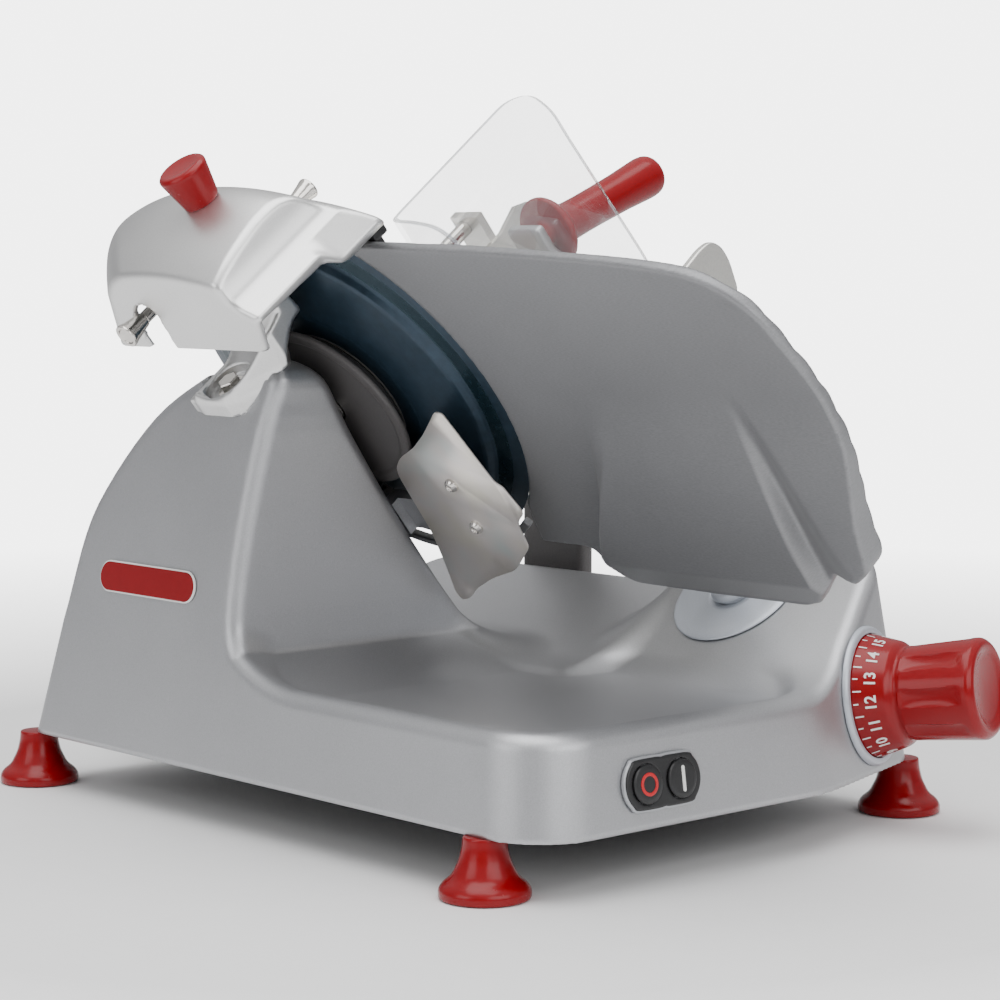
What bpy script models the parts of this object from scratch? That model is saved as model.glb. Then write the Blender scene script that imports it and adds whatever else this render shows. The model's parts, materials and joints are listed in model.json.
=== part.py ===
"""Deli meat slicer: a 250 mm gravity-feed slicer with an integral sharpener.

Units are metres, +Z is up.  The origin lies on the ground at the centre of
the four feet.  +X points to the product side, -Y towards the operator.

Pieces beside the blade are drawn in the blade frame: n runs along the blade
axis towards the product, y is the carriage direction, u is up the blade.
"""
import math

import bmesh
import bpy
from mathutils import Euler, Matrix, Vector

# Driving dimensions --------------------------------------------------------
GAP = 0.0003
WALL = 0.004
TILT = math.radians(39)
DRAFT = math.tan(math.radians(8))

FOOT_X = 0.1633
FOOT_Y = 0.2088
FOOT_RADIUS = 0.024
FOOT_NECK = 0.0115
FOOT_HEIGHT = 0.032

BASE_LEFT = -0.1705
BASE_RIGHT = 0.1695
BASE_BACK = 0.212
BASE_FRONT = -0.255
BASE_KINK_X = 0.047
BASE_CORNER_Y = -0.215
RIM_Z = 0.086
WELL_Z = 0.081
DECK_RIGHT_Z = 0.121
CORNER_RADIUS = 0.040
BACK_LEAN = 1.6
FRONT_SLOPE = (BASE_CORNER_Y - BASE_FRONT) / (BASE_RIGHT - BASE_KINK_X)

BLADE_RADIUS = 0.125
BLADE_Y = 0.0227
BLADE_U = 0.233
BLADE_N = 0.113
HUB_RADIUS = 0.058
HOUSING_N = 0.082

MOTOR_Y = 0.110
MOTOR_U = 0.125
MOTOR_RADIUS = 0.040
PULLEY_RADIUS = 0.045
MOTOR_PULLEY_RADIUS = 0.0125
BELT_THICKNESS = 0.002

GAUGE_THICKNESS = 0.006
GAUGE_ARC = 0.128

POST_N = 0.166
POST_Y = -0.125
SLOPE_U = 0.027
TOWER_FLANK_Y = -0.060
DISC_RADIUS = 0.041

KNOB_POINT = (0.1156, -0.2261, 0.0754)
KNOB_TURN = math.radians(18)
KNOB_TIP = math.radians(8)
DIAL_RADIUS = 0.035

ROD_X = 0.140
ROD_Z = 0.066
ROD_RADIUS = 0.010
ROD_SUPPORTS = (-0.192, 0.178)

TABLE_U = 0.145
TABLE_NEAR = 0.118
TABLE_FAR = 0.303
FENCE_Y = -0.091
BACK_WALL_Y = 0.096
FENCE_TOP = 0.187
ARM_Y = (0.071, 0.131)
ARM_NEAR_X = 0.172
ARM_FAR_X = 0.184

PUSHER_ROD_Y = 0.114
PUSHER_ROD_U = 0.200
PUSHER_N = 0.250
HANDLE_POINT = (0.270, 0.0, 0.2175)
HANDLE_DROP = math.radians(16)

SWITCH = (-0.0807, -0.2517, 0.0552)

GRIND_Y = 0.015
GRIND_U = 0.361
DEBURR_Y = -0.005
DEBURR_U = 0.352
SHARPENER_KNOB_N = 0.066
SHARPENER_KNOB_Y = -0.024

CABLE_RADIUS = 0.0040
CABLE_REST_Z = 0.0056
CABLE_WAY = [(-0.060, 0.196, 0.060), (-0.060, 0.236, 0.060), (-0.052, 0.272, 0.016),
             (0.000, 0.290, CABLE_REST_Z), (0.110, 0.284, CABLE_REST_Z)]


# Placing -------------------------------------------------------------------
def blade_matrix(n=0.0, y=0.0, u=0.0):
    """Turns (n, y, u) numbers into the world, with the origin at n, y, u."""
    turn = Matrix.Rotation(-TILT, 4, "Y")
    return turn @ Matrix.Translation((n, y, u))


def world_matrix(x=0.0, y=0.0, z=0.0):
    return Matrix.Translation((x, y, z))


def axis_matrix(point, direction):
    """Local Z runs along the direction, from the point."""
    turn = Vector(direction).normalized().to_track_quat("Z", "Y")
    return Matrix.Translation(point) @ turn.to_matrix().to_4x4()


def knob_matrix():
    """The outward axis of the thickness knob, square to its drafted wall."""
    out = Vector((0.0, -1.0, 0.0))
    out.rotate(Euler((-KNOB_TIP, 0.0, 0.0)))
    out.rotate(Euler((0.0, 0.0, KNOB_TURN)))
    return axis_matrix(KNOB_POINT, out)


def switch_matrix():
    """Local Z points out of the drafted front wall, local X along it."""
    turn = Matrix.Rotation(math.pi / 2 - math.atan(DRAFT), 4, "X")
    return Matrix.Translation(SWITCH) @ turn


# Materials -----------------------------------------------------------------
def material(name, colour, roughness, metallic):
    made = bpy.data.materials.get(name)
    if made:
        return made
    made = bpy.data.materials.new(name)
    made.use_nodes = True
    shader = made.node_tree.nodes["Principled BSDF"]
    shader.inputs["Base Color"].default_value = (*colour, 1.0)
    shader.inputs["Roughness"].default_value = roughness
    shader.inputs["Metallic"].default_value = metallic
    return made


def cast_aluminium():
    return material("cast_aluminium", (0.46, 0.47, 0.49), 0.42, 1.0)


def bright_aluminium():
    return material("bright_aluminium", (0.72, 0.72, 0.71), 0.3, 1.0)


def gauge_aluminium():
    return material("gauge_aluminium", (0.30, 0.31, 0.33), 0.45, 1.0)


def pale_aluminium():
    return material("pale_aluminium", (0.70, 0.69, 0.66), 0.35, 1.0)


def blade_steel():
    return material("blade_steel", (0.10, 0.16, 0.20), 0.2, 1.0)


def stainless():
    return material("stainless", (0.62, 0.61, 0.58), 0.25, 1.0)


def polished_steel():
    return material("polished_steel", (0.68, 0.66, 0.62), 0.12, 1.0)


def red_plastic():
    return material("red_plastic", (0.42, 0.01, 0.015), 0.15, 0.0)


def black_plastic():
    return material("black_plastic", (0.015, 0.015, 0.016), 0.4, 0.0)


def grey_plastic():
    return material("grey_plastic", (0.09, 0.085, 0.085), 0.5, 0.0)


def pale_plastic():
    return material("pale_plastic", (0.72, 0.74, 0.77), 0.4, 0.0)


def clear_plastic():
    return material("clear_plastic", (0.80, 0.85, 0.90), 0.05, 0.0)


def rubber():
    return material("rubber", (0.02, 0.02, 0.02), 0.8, 0.0)


def stone():
    return material("stone", (0.55, 0.50, 0.45), 0.9, 0.0)


def board_green():
    return material("board_green", (0.02, 0.12, 0.05), 0.5, 0.0)


# Shapes --------------------------------------------------------------------
def hull(points):
    mesh = bmesh.new()
    for point in points:
        mesh.verts.new(point)
    made = bmesh.ops.convex_hull(mesh, input=mesh.verts)
    loose = [v for v in made["geom_interior"] if isinstance(v, bmesh.types.BMVert)]
    bmesh.ops.delete(mesh, geom=loose, context="VERTS")
    bmesh.ops.dissolve_limit(mesh, angle_limit=0.001, verts=mesh.verts, edges=mesh.edges)
    return mesh


def box(x, y, z):
    """A block between pairs of limits."""
    return hull([(a, b, c) for a in x for b in y for c in z])


def loft(lower, upper):
    """A closed solid between two rings with the same number of points."""
    mesh = bmesh.new()
    low = [mesh.verts.new(p) for p in lower]
    high = [mesh.verts.new(p) for p in upper]
    mesh.faces.new(low)
    mesh.faces.new(high)
    count = len(low)
    for i in range(count):
        j = (i + 1) % count
        mesh.faces.new((low[i], low[j], high[j], high[i]))
    bmesh.ops.recalc_face_normals(mesh, faces=mesh.faces)
    return mesh


def prism(outline, start, end, along):
    """An outline drawn square to one axis and pushed along it."""
    order = {"x": lambda a, b, c: (c, a, b),
             "y": lambda a, b, c: (a, c, b),
             "z": lambda a, b, c: (a, b, c)}[along]
    lower = [order(a, b, start) for a, b in outline]
    upper = [order(a, b, end) for a, b in outline]
    return loft(lower, upper)


def turned(profile, steps=28):
    """A closed outline of (radius, height) spun about local Z."""
    mesh = bmesh.new()
    points = [mesh.verts.new((radius, 0.0, height)) for radius, height in profile]
    count = len(points)
    closed = min(radius for radius, height in profile) > 1e-6
    pairs = range(count) if closed else range(count - 1)
    edges = [mesh.edges.new((points[i], points[(i + 1) % count])) for i in pairs]
    bmesh.ops.spin(mesh, geom=points + edges, cent=(0, 0, 0), axis=(0, 0, 1),
                   angle=2 * math.pi, steps=steps, use_merge=True)
    bmesh.ops.remove_doubles(mesh, verts=mesh.verts, dist=1e-6)
    bmesh.ops.recalc_face_normals(mesh, faces=mesh.faces)
    return mesh


def disc(radius, start, end, steps=20):
    return turned([(0.0, start), (radius, start), (radius, end), (0.0, end)], steps)


def ring(inner, outer, start, end, steps=28):
    return turned([(inner, start), (outer, start), (outer, end), (inner, end)], steps)


def arc(centre, radius, start, end, steps):
    """Points along an arc, in degrees, counted from the first axis."""
    made = []
    for i in range(steps + 1):
        angle = math.radians(start + (end - start) * i / steps)
        made.append((centre[0] + radius * math.cos(angle), centre[1] + radius * math.sin(angle)))
    return made


def along_n(mesh):
    """Turns a piece spun about Z so that its axis runs along n."""
    bmesh.ops.rotate(mesh, verts=mesh.verts, matrix=Matrix.Rotation(math.pi / 2, 3, "Y"))
    return mesh


def along_y(mesh):
    bmesh.ops.rotate(mesh, verts=mesh.verts, matrix=Matrix.Rotation(-math.pi / 2, 3, "X"))
    return mesh


def moved(mesh, x=0.0, y=0.0, z=0.0):
    bmesh.ops.translate(mesh, verts=mesh.verts, vec=(x, y, z))
    return mesh


# Objects -------------------------------------------------------------------
def put(name, mesh, look, matrix):
    data = bpy.data.meshes.new(name)
    bmesh.ops.triangulate(mesh, faces=[f for f in mesh.faces if len(f.verts) > 4])
    mesh.to_mesh(data)
    mesh.free()
    data.shade_smooth()
    data.set_sharp_from_angle(angle=math.radians(35))
    made = bpy.data.objects.new(name, data)
    bpy.context.scene.collection.objects.link(made)
    made.matrix_world = matrix
    if look:
        data.materials.append(look)
    return made


def combine(target, mesh, operation, matrix):
    """Cuts a shape out of the target, or joins it on, as a Boolean."""
    guide = put(f"{target.name}_guide_{len(target.modifiers)}", mesh, None, matrix)
    guide.hide_render = True
    guide.display_type = "WIRE"
    step = target.modifiers.new(guide.name, "BOOLEAN")
    step.operation = operation
    step.solver = "EXACT"
    step.object = guide


def cut(target, mesh, matrix):
    combine(target, mesh, "DIFFERENCE", matrix)


def join(target, mesh, matrix):
    combine(target, mesh, "UNION", matrix)


# Base ----------------------------------------------------------------------
def base_outline(inset, height):
    """The plan of the base at one height; its walls lean in by the draft."""
    lean = inset + (height - FOOT_HEIGHT) * DRAFT
    left = BASE_LEFT + lean
    right = BASE_RIGHT - lean
    back = BASE_BACK - inset - (lean - inset) * BACK_LEAN
    front = BASE_FRONT + lean
    kink = BASE_KINK_X - 0.16 * lean
    corner = front + FRONT_SLOPE * (right - kink)
    radius = CORNER_RADIUS - inset
    rounded = arc((left + radius, front + radius), radius, 180, 270, 5)
    return [(left, back), *rounded, (kink, front), (right, corner), (right, back)]


def base_body(inset):
    top = RIM_Z if inset == 0.0 else WELL_Z - WALL
    lower = [(x, y, FOOT_HEIGHT - inset) for x, y in base_outline(inset, FOOT_HEIGHT)]
    upper = [(x, y, top) for x, y in base_outline(inset, top)]
    return loft(lower, upper)


def front_wall_y(x, z):
    """Where the slanting right half of the drafted front wall stands."""
    return BASE_FRONT + FRONT_SLOPE * (x - BASE_KINK_X) + 1.06 * (z - FOOT_HEIGHT) * DRAFT


HOUSING_PROFILE = [
    (0.204, 0.073), (0.190, 0.115), (0.176, 0.158), (0.150, 0.196), (0.114, 0.231),
    (0.077, 0.252), (0.040, 0.266), (-0.006, 0.258), (0.002, 0.225), (0.010, 0.176),
    (0.013, 0.131), (0.006, 0.098), (-0.020, 0.075)]


def housing_body(inset):
    """The tall motor housing: drafted outside, parallel to the blade inside."""
    lower = []
    upper = []
    middle_y = 0.09
    for y, z in HOUSING_PROFILE:
        y_in = y - inset if y > middle_y else y + inset
        y_in = y if abs(y - middle_y) < 0.03 else y_in
        z_in = z - inset if z > 0.18 else z
        z_in = z_in - 0.01 if z < 0.08 else z_in
        left = BASE_LEFT + inset + (z_in - FOOT_HEIGHT) * DRAFT
        right = (HOUSING_N - inset - z_in * math.sin(TILT)) / math.cos(TILT)
        lower.append((left, y_in, z_in))
        upper.append((right, y_in, z_in))
    return loft(lower, upper)


def tower_body(inset):
    """The block at the front right that carries the gauge post."""
    flank = TOWER_FLANK_Y - inset
    points = []
    for n in (0.098 + inset, 0.215 - inset):
        for end in ("front", "flank"):
            x, _, z = blade_matrix() @ Vector((n, 0.0, SLOPE_U - inset))
            points.append((x, front_wall_y(x, z) + inset if end == "front" else flank, z))
    for x in (0.048 + inset, 0.164 - inset):
        points.append((x, front_wall_y(x, 0.070) + inset, 0.070))
        points.append((x, flank + 0.008, 0.070))
    return hull(points)


def deck_body(inset):
    """The rear deck under the carriage, rising towards the right wall."""
    low = 0.060
    near_x = 0.022
    far_x = BASE_RIGHT - inset - (DECK_RIGHT_Z - FOOT_HEIGHT) * DRAFT
    back = BASE_BACK - inset - (DECK_RIGHT_Z - FOOT_HEIGHT) * DRAFT
    points = []
    for y in (-0.075 + inset, back):
        points += [(near_x, y, low), (far_x + 0.004, y, low)]
        points += [(near_x, y, WELL_Z - inset), (far_x, y, DECK_RIGHT_Z - inset)]
    return hull(points)


def base_casting():
    here = world_matrix()
    base = put("base_casting", base_body(0.0), cast_aluminium(), here)
    join(base, housing_body(0.0), here)
    join(base, deck_body(0.0), here)
    join(base, tower_body(0.0), here)
    cut(base, well_pocket(), here)
    cut(base, base_body(WALL), here)
    cut(base, housing_body(WALL), here)
    cut(base, deck_body(WALL), here)
    cut(base, tower_body(WALL), here)
    for start in ROD_SUPPORTS:
        join(base, box((0.126, 0.1625), (start, start + 0.014), (0.048, 0.080)), here)
        place = world_matrix(ROD_X, 0.0, ROD_Z)
        cut(base, along_y(disc(ROD_RADIUS + GAP, start - 0.010, start + 0.024, 20)), place)
    cut(base, box((0.144, 0.180), (-0.162, 0.146), (0.055, 0.078)), here)
    cut(base, box((0.135, 0.181), (POST_Y - 0.0150, POST_Y + 0.0150), (0.005, 0.040)),
        blade_matrix())
    cut(base, moved(along_n(disc(0.0095, 0.060, 0.110)), y=BLADE_Y, z=BLADE_U), blade_matrix())
    cut(base, moved(along_n(disc(0.018, 0.060, 0.110)), y=MOTOR_Y, z=MOTOR_U), blade_matrix())
    cut(base, disc(0.0075, -0.020, 0.020, 16), knob_matrix())
    cut(base, box((-0.0225, 0.0225), (-0.010, 0.010), (-0.012, 0.012)), switch_matrix())
    cut(base, moved(along_y(disc(0.0085, 0.180, 0.230, 16)), x=-0.060, z=0.060), here)
    return base


def well_pocket():
    """The shallow catch area in front of the blade, inside the rim."""
    inset = 0.013
    outline = base_outline(inset, RIM_Z)
    rounded = outline[1:7]
    corners = rounded + [(0.040, BASE_FRONT + 0.0215), (0.058, -0.200), (0.020, -0.040),
                         (-0.036, -0.030), (rounded[0][0], -0.034)]
    return prism(corners, WELL_Z - 0.001, RIM_Z + 0.030, "z")


def bottom_cover():
    """The plate that closes the base from below."""
    inset = WALL + 0.0030
    outline = base_outline(inset, FOOT_HEIGHT)
    plate = put("bottom_cover", prism(outline, 0.0335, 0.0355, "z"), black_plastic(),
                world_matrix())
    return plate


def feet():
    profile = [(0.0, 0.0), (FOOT_RADIUS - 0.001, 0.0), (FOOT_RADIUS, 0.002), (FOOT_RADIUS, 0.006),
               (0.0195, 0.009), (0.0150, 0.015), (0.0125, 0.022),
               (FOOT_NECK, FOOT_HEIGHT - GAP), (0.0, FOOT_HEIGHT - GAP)]
    places = {"foot_front_left": (-1, -1), "foot_front_right": (1, -1),
              "foot_back_left": (-1, 1), "foot_back_right": (1, 1)}
    for name, (side, end) in places.items():
        place = world_matrix(side * FOOT_X, end * FOOT_Y)
        put(name, turned(profile, 20), red_plastic(), place)


def badge_plate():
    """A blank pill-shaped plate on the left wall."""
    half = 0.039
    height = 0.0095
    outline = arc((half, 0.0), height, -90, 90, 6) + arc((-half, 0.0), height, 90, 270, 6)
    z = 0.134
    x = BASE_LEFT + (z - FOOT_HEIGHT) * DRAFT
    out = Vector((-1.0, 0.0, DRAFT)).normalized()
    turn = Matrix((Vector((0, -1, 0)), out.cross(Vector((0, -1, 0))), out)).transposed()
    place = Matrix.Translation((x, 0.098, z)) @ turn.to_4x4()
    put("badge_plate", prism(outline, GAP, 0.002, "z"), red_plastic(), place)


# Drive ---------------------------------------------------------------------
def turned_on_axis(name, profile, look, y, u, steps=28):
    """A turned piece whose axis runs along n through y, u."""
    return put(name, along_n(turned(profile, steps)), look, blade_matrix(0.0, y, u))


def motor():
    can = [(0.0, -0.022), (0.036, -0.022), (MOTOR_RADIUS, -0.016), (MOTOR_RADIUS, 0.050),
           (0.014, 0.052), (0.014, 0.058), (0.0055, 0.058), (0.0055, 0.052), (0.0, 0.052)]
    turned_on_axis("motor_can", can, grey_plastic(), MOTOR_Y, MOTOR_U, 24)
    pulley = [(0.0, 0.0525), (0.005, 0.0525), (0.005, 0.0910), (0.0145, 0.0910),
              (0.0145, 0.0920), (MOTOR_PULLEY_RADIUS, 0.0920), (MOTOR_PULLEY_RADIUS, 0.0982),
              (0.0145, 0.0982), (0.0145, 0.0987), (0.0, 0.0987)]
    turned_on_axis("motor_pulley", pulley, grey_plastic(), MOTOR_Y, MOTOR_U, 20)


def drive_belt():
    """A closed belt round both pulleys, drawn in (y, u) about the blade axis."""
    across = math.hypot(MOTOR_Y - BLADE_Y, MOTOR_U - BLADE_U)
    heading = math.degrees(math.atan2(MOTOR_U - BLADE_U, MOTOR_Y - BLADE_Y))
    centre = (MOTOR_Y - BLADE_Y, MOTOR_U - BLADE_U)
    loops = []
    for extra in (GAP, GAP + BELT_THICKNESS):
        big = PULLEY_RADIUS + extra
        small = MOTOR_PULLEY_RADIUS + extra
        lean = math.degrees(math.acos((big - small) / across))
        loops.append(arc((0.0, 0.0), big, heading + lean, heading + 360 - lean, 24)
                     + arc(centre, small, heading - lean, heading + lean, 8))
    belt = put("drive_belt", band(loops[0], loops[1], 0.0924, 0.0979), rubber(),
               blade_matrix(0.0, BLADE_Y, BLADE_U))
    return belt


def band(inner, outer, start, end):
    """A strip between two outlines drawn in (y, u), from n start to n end."""
    mesh = bmesh.new()
    rows = []
    for outline, n in ((inner, start), (outer, start), (outer, end), (inner, end)):
        rows.append([mesh.verts.new((n, y, u)) for y, u in outline])
    count = len(inner)
    for k in range(4):
        first = rows[k]
        second = rows[(k + 1) % 4]
        for i in range(count):
            j = (i + 1) % count
            mesh.faces.new((first[i], first[j], second[j], second[i]))
    bmesh.ops.recalc_face_normals(mesh, faces=mesh.faces)
    return mesh


def blade_group():
    pulley = [(0.0105, 0.0910), (0.047, 0.0910), (0.047, 0.0920), (PULLEY_RADIUS, 0.0920),
              (PULLEY_RADIUS, 0.0990), (0.047, 0.0990), (0.047, 0.1000), (0.0105, 0.1000)]
    turned_on_axis("blade_pulley", pulley, grey_plastic(), BLADE_Y, BLADE_U)
    shaft = [(0.0, 0.0560), (0.0065, 0.0560), (0.0065, 0.0835), (0.0102, 0.0835),
             (0.0102, 0.1003), (0.0300, 0.1003), (0.0300, 0.1025), (0.0065, 0.1025),
             (0.0065, 0.1060), (0.0, 0.1060)]
    turned_on_axis("blade_shaft", shaft, polished_steel(), BLADE_Y, BLADE_U, 24)
    bearing = ring(0.0068, 0.0092, 0.0600, 0.0780, 20)
    put("blade_bearing", along_n(bearing), polished_steel(), blade_matrix(0.0, BLADE_Y, BLADE_U))
    blade = [(0.0305, 0.1003), (0.060, 0.1003), (0.099, 0.1050), (0.104, 0.1095),
             (BLADE_RADIUS, 0.1127), (BLADE_RADIUS, 0.1130), (0.106, 0.1120), (0.101, 0.1072),
             (0.062, 0.1025), (0.0305, 0.1025)]
    turned_on_axis("blade", blade, blade_steel(), BLADE_Y, BLADE_U, 48)
    shroud = [(0.0110, 0.0885), (HUB_RADIUS, 0.0885), (HUB_RADIUS, 0.0905), (0.0110, 0.0905)]
    turned_on_axis("hub_shroud", shroud, grey_plastic(), BLADE_Y, BLADE_U)
    cover = [(0.0, 0.1065), (0.020, 0.1065), (0.092, 0.1095), (0.096, 0.1110),
             (0.092, 0.1122), (0.0, 0.1122)]
    turned_on_axis("blade_cover_plate", cover, stainless(), BLADE_Y, BLADE_U)


def guard_ring():
    """The fixed guard round the idle part of the blade, on two arms."""
    inner = 0.1285
    outer = 0.134
    curve = arc((0.0, 0.0), outer, -128, 50, 18) + arc((0.0, 0.0), inner, 50, -128, 18)
    mesh = prism(curve, 0.1085, 0.1135, "x")
    place = blade_matrix(0.0, BLADE_Y, BLADE_U)
    guard = put("blade_guard_ring", mesh, bright_aluminium(), place)
    for angle in (-68, 22):
        middle = (outer - 0.002) * Vector((math.cos(math.radians(angle)),
                                           math.sin(math.radians(angle))))
        arm = box((0.0823 + GAP, 0.110), (middle.x - 0.001, middle.x + 0.009),
                  (middle.y - 0.007, middle.y + 0.007))
        join(guard, arm, place)


def deflector():
    outline = [(-0.080, 0.2360), (-0.088, 0.1846), (-0.0925, 0.1815), (-0.0972, 0.1617),
               (-0.0852, 0.1528), (-0.0822, 0.1336), (-0.0583, 0.1138), (-0.0348, 0.1065),
               (-0.0160, 0.0977), (-0.0083, 0.0912), (-0.0002, 0.0895), (0.0029, 0.0954),
               (-0.0029, 0.1816), (-0.0060, 0.1897), (-0.0153, 0.1979), (-0.0335, 0.2066),
               (-0.0508, 0.2180), (-0.0672, 0.2307), (-0.0740, 0.2365)]
    here = blade_matrix()
    plate = put("deflector_plate", prism(outline, 0.0870, 0.0882, "x"), stainless(), here)
    bar = put("deflector_bracket", box((0.0886, 0.0960), (-0.062, 0.026), (0.138, 0.162)),
              cast_aluminium(), here)
    join(bar, box((0.0824, 0.0890), (0.0155, 0.026), (0.138, 0.162)), here)
    join(bar, box((0.0886, 0.0960), (-0.062, -0.034), (0.138, 0.190)), here)
    for name, y, u in (("deflector_screw_upper", -0.049, 0.180), ("deflector_screw_lower", -0.047, 0.147)):
        hole = moved(along_n(disc(0.0026, 0.080, 0.100, 12)), y=y, z=u)
        cut(plate, hole, here)
        hole = moved(along_n(disc(0.0026, 0.080, 0.100, 12)), y=y, z=u)
        cut(bar, hole, here)
        screw = [(0.0, 0.0828), (0.0030, 0.0832), (0.0045, 0.0848), (0.0045, 0.0867),
                 (0.0023, 0.0867), (0.0023, 0.0950), (0.0, 0.0950)]
        turned_on_axis(name, screw, polished_steel(), y, u, 12)


def belt_cover():
    """A shallow cover over the motor pulley and the lower run of the belt."""
    centre = (MOTOR_Y - BLADE_Y, MOTOR_U - BLADE_U)
    heading = math.degrees(math.atan2(centre[1], centre[0]))
    start = 0.066

    def outline(shrink, near):
        small = arc(centre, 0.021 - shrink, heading - 80, heading + 80, 8)
        side = Vector((math.cos(math.radians(heading)), math.sin(math.radians(heading))))
        square = Vector((-side.y, side.x))
        half = 0.039 - shrink
        return small + [tuple(side * near + square * half), tuple(side * near - square * half)]

    place = blade_matrix(0.0, BLADE_Y, BLADE_U)
    cover = put("belt_cover", prism(outline(0.0, start), HOUSING_N + 0.0004, 0.1003, "x"),
                grey_plastic(), place)
    cut(cover, prism(outline(0.002, start - 0.010), 0.0700, 0.0991, "x"), place)


# Sharpener -----------------------------------------------------------------
def cover_hull(inset, drop):
    """The domed sharpener cover; the drop opens the inner one downwards."""
    near = 0.012 + inset
    far = 0.127 - inset
    front = -0.080 + inset
    rim = 0.343 - drop
    points = [(near, front, rim), (near, 0.055 - inset, rim), (0.045, 0.090 - inset, rim),
              (far, 0.090 - inset, rim), (far, front, rim)]
    points += [(near + 0.003, front + 0.020, 0.383 - inset), (near + 0.003, 0.028 - inset, 0.3805 - inset)]
    points += [(0.045, front + 0.030, 0.401 - inset), (0.050, 0.033 - inset, 0.397 - inset)]
    points += [(0.082, front + 0.032, 0.403 - inset), (0.085, 0.036 - inset, 0.394 - inset)]
    points += [(far, front + 0.012, 0.357 - inset), (far, 0.080 - inset, 0.357 - inset)]
    return hull(points)


def sharpener_bracket():
    """The arm that carries the sharpener over the blade, with the cover's stud."""
    here = blade_matrix()
    side = [(0.046, 0.2790), (0.078, 0.2790), (0.088, 0.300), (0.090, 0.356),
            (0.090, 0.380), (0.046, 0.380), (0.046, 0.330)]
    bracket = put("sharpener_bracket", prism(side, -0.006, 0.030, "y"), bright_aluminium(), here)
    join(bracket, box((0.046, 0.090), (-0.034, 0.000), (0.368, 0.380)), here)
    stud = moved(disc(0.0040, 0.370, 0.4120, 16), x=SHARPENER_KNOB_N, y=SHARPENER_KNOB_Y)
    join(bracket, stud, here)
    cut(bracket, housing_body(-2 * GAP), world_matrix())
    cut(bracket, moved(along_n(disc(0.0042, 0.030, 0.100, 16)), y=GRIND_Y, z=GRIND_U), here)


def sharpener_cover():
    here = blade_matrix()
    cover = put("sharpener_cover", cover_hull(0.0, 0.0), bright_aluminium(), here)
    cut(cover, cover_hull(0.003, 0.010), here)
    cut(cover, box((0.000, 0.030), (0.003, 0.027), (0.330, 0.372)), here)
    cut(cover, box((0.1190, 0.135), (DEBURR_Y - 0.006, DEBURR_Y + 0.006), (0.330, 0.3585)), here)
    cut(cover, moved(disc(0.0048, 0.380, 0.420, 16), x=SHARPENER_KNOB_N, y=SHARPENER_KNOB_Y), here)


def sharpener_knob():
    """A tapered cap that pulls the cover down on to its stud."""
    low = 0.4045
    profile = [(0.0, low + 0.012), (0.0045, low + 0.012), (0.0045, low), (0.0100, low),
               (0.0138, low + 0.017), (0.0144, low + 0.021), (0.0120, low + 0.0235),
               (0.0, low + 0.0245)]
    put("sharpener_knob", turned(profile, 20), red_plastic(),
        blade_matrix(SHARPENER_KNOB_N, SHARPENER_KNOB_Y, 0.0))


def stones():
    stone_a = [(0.0, 0.0960), (0.0105, 0.0960), (0.0105, 0.1020), (0.0, 0.1020)]
    turned_on_axis("grinding_stone", stone_a, stone(), GRIND_Y, GRIND_U, 24)
    pin_a = [(0.0, -0.0030), (0.0072, -0.0030), (0.0066, 0.0010), (0.0046, 0.0120),
             (0.0036, 0.0140), (0.0036, 0.0957), (0.0, 0.0957)]
    turned_on_axis("grinding_pin", pin_a, polished_steel(), GRIND_Y, GRIND_U, 16)
    stone_b = [(0.0, 0.1157), (0.0060, 0.1157), (0.0060, 0.1182), (0.0, 0.1182)]
    turned_on_axis("deburring_stone", stone_b, stone(), DEBURR_Y, DEBURR_U, 24)
    pin_b = [(0.0, 0.1185), (0.0036, 0.1185), (0.0036, 0.1290), (0.0046, 0.1305),
             (0.0066, 0.1375), (0.0072, 0.1400), (0.0, 0.1400)]
    turned_on_axis("deburring_pin", pin_b, polished_steel(), DEBURR_Y, DEBURR_U, 16)
    here = blade_matrix()
    yoke = put("stone_yoke", box((0.0903, 0.1000), (-0.0600, -0.0300), (0.3620, 0.3680)),
               black_plastic(), here)
    join(yoke, box((0.0920, 0.1000), (-0.0600, -0.0540), (0.3450, 0.3680)), here)
    join(yoke, box((0.0920, 0.1180), (-0.0650, -0.0540), (0.3450, 0.3510)), here)


# Gauge ---------------------------------------------------------------------
def gauge_outline():
    """The (y, u) edge of the gauge plate, with its arc round the blade."""
    curve = arc((BLADE_Y, BLADE_U), GAUGE_ARC, 122, 222, 12)
    foot = [(-0.0660, 0.1180), (-0.1040, 0.1180), (-0.1100, 0.1040), (-0.1250, 0.1020),
            (-0.1260, 0.0910), (-0.2570, 0.0900), (-0.2700, 0.0950), (-0.2930, 0.1190)]
    front = [(-0.3150, 0.1225), (-0.3300, 0.1380), (-0.3345, 0.1630), (-0.3419, 0.1870),
             (-0.3493, 0.2330), (-0.3475, 0.2530), (-0.3407, 0.2780), (-0.3353, 0.2955),
             (-0.3264, 0.3060), (-0.3130, 0.3158), (-0.2930, 0.3216), (-0.1906, 0.3322)]
    return curve + foot + front


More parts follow.
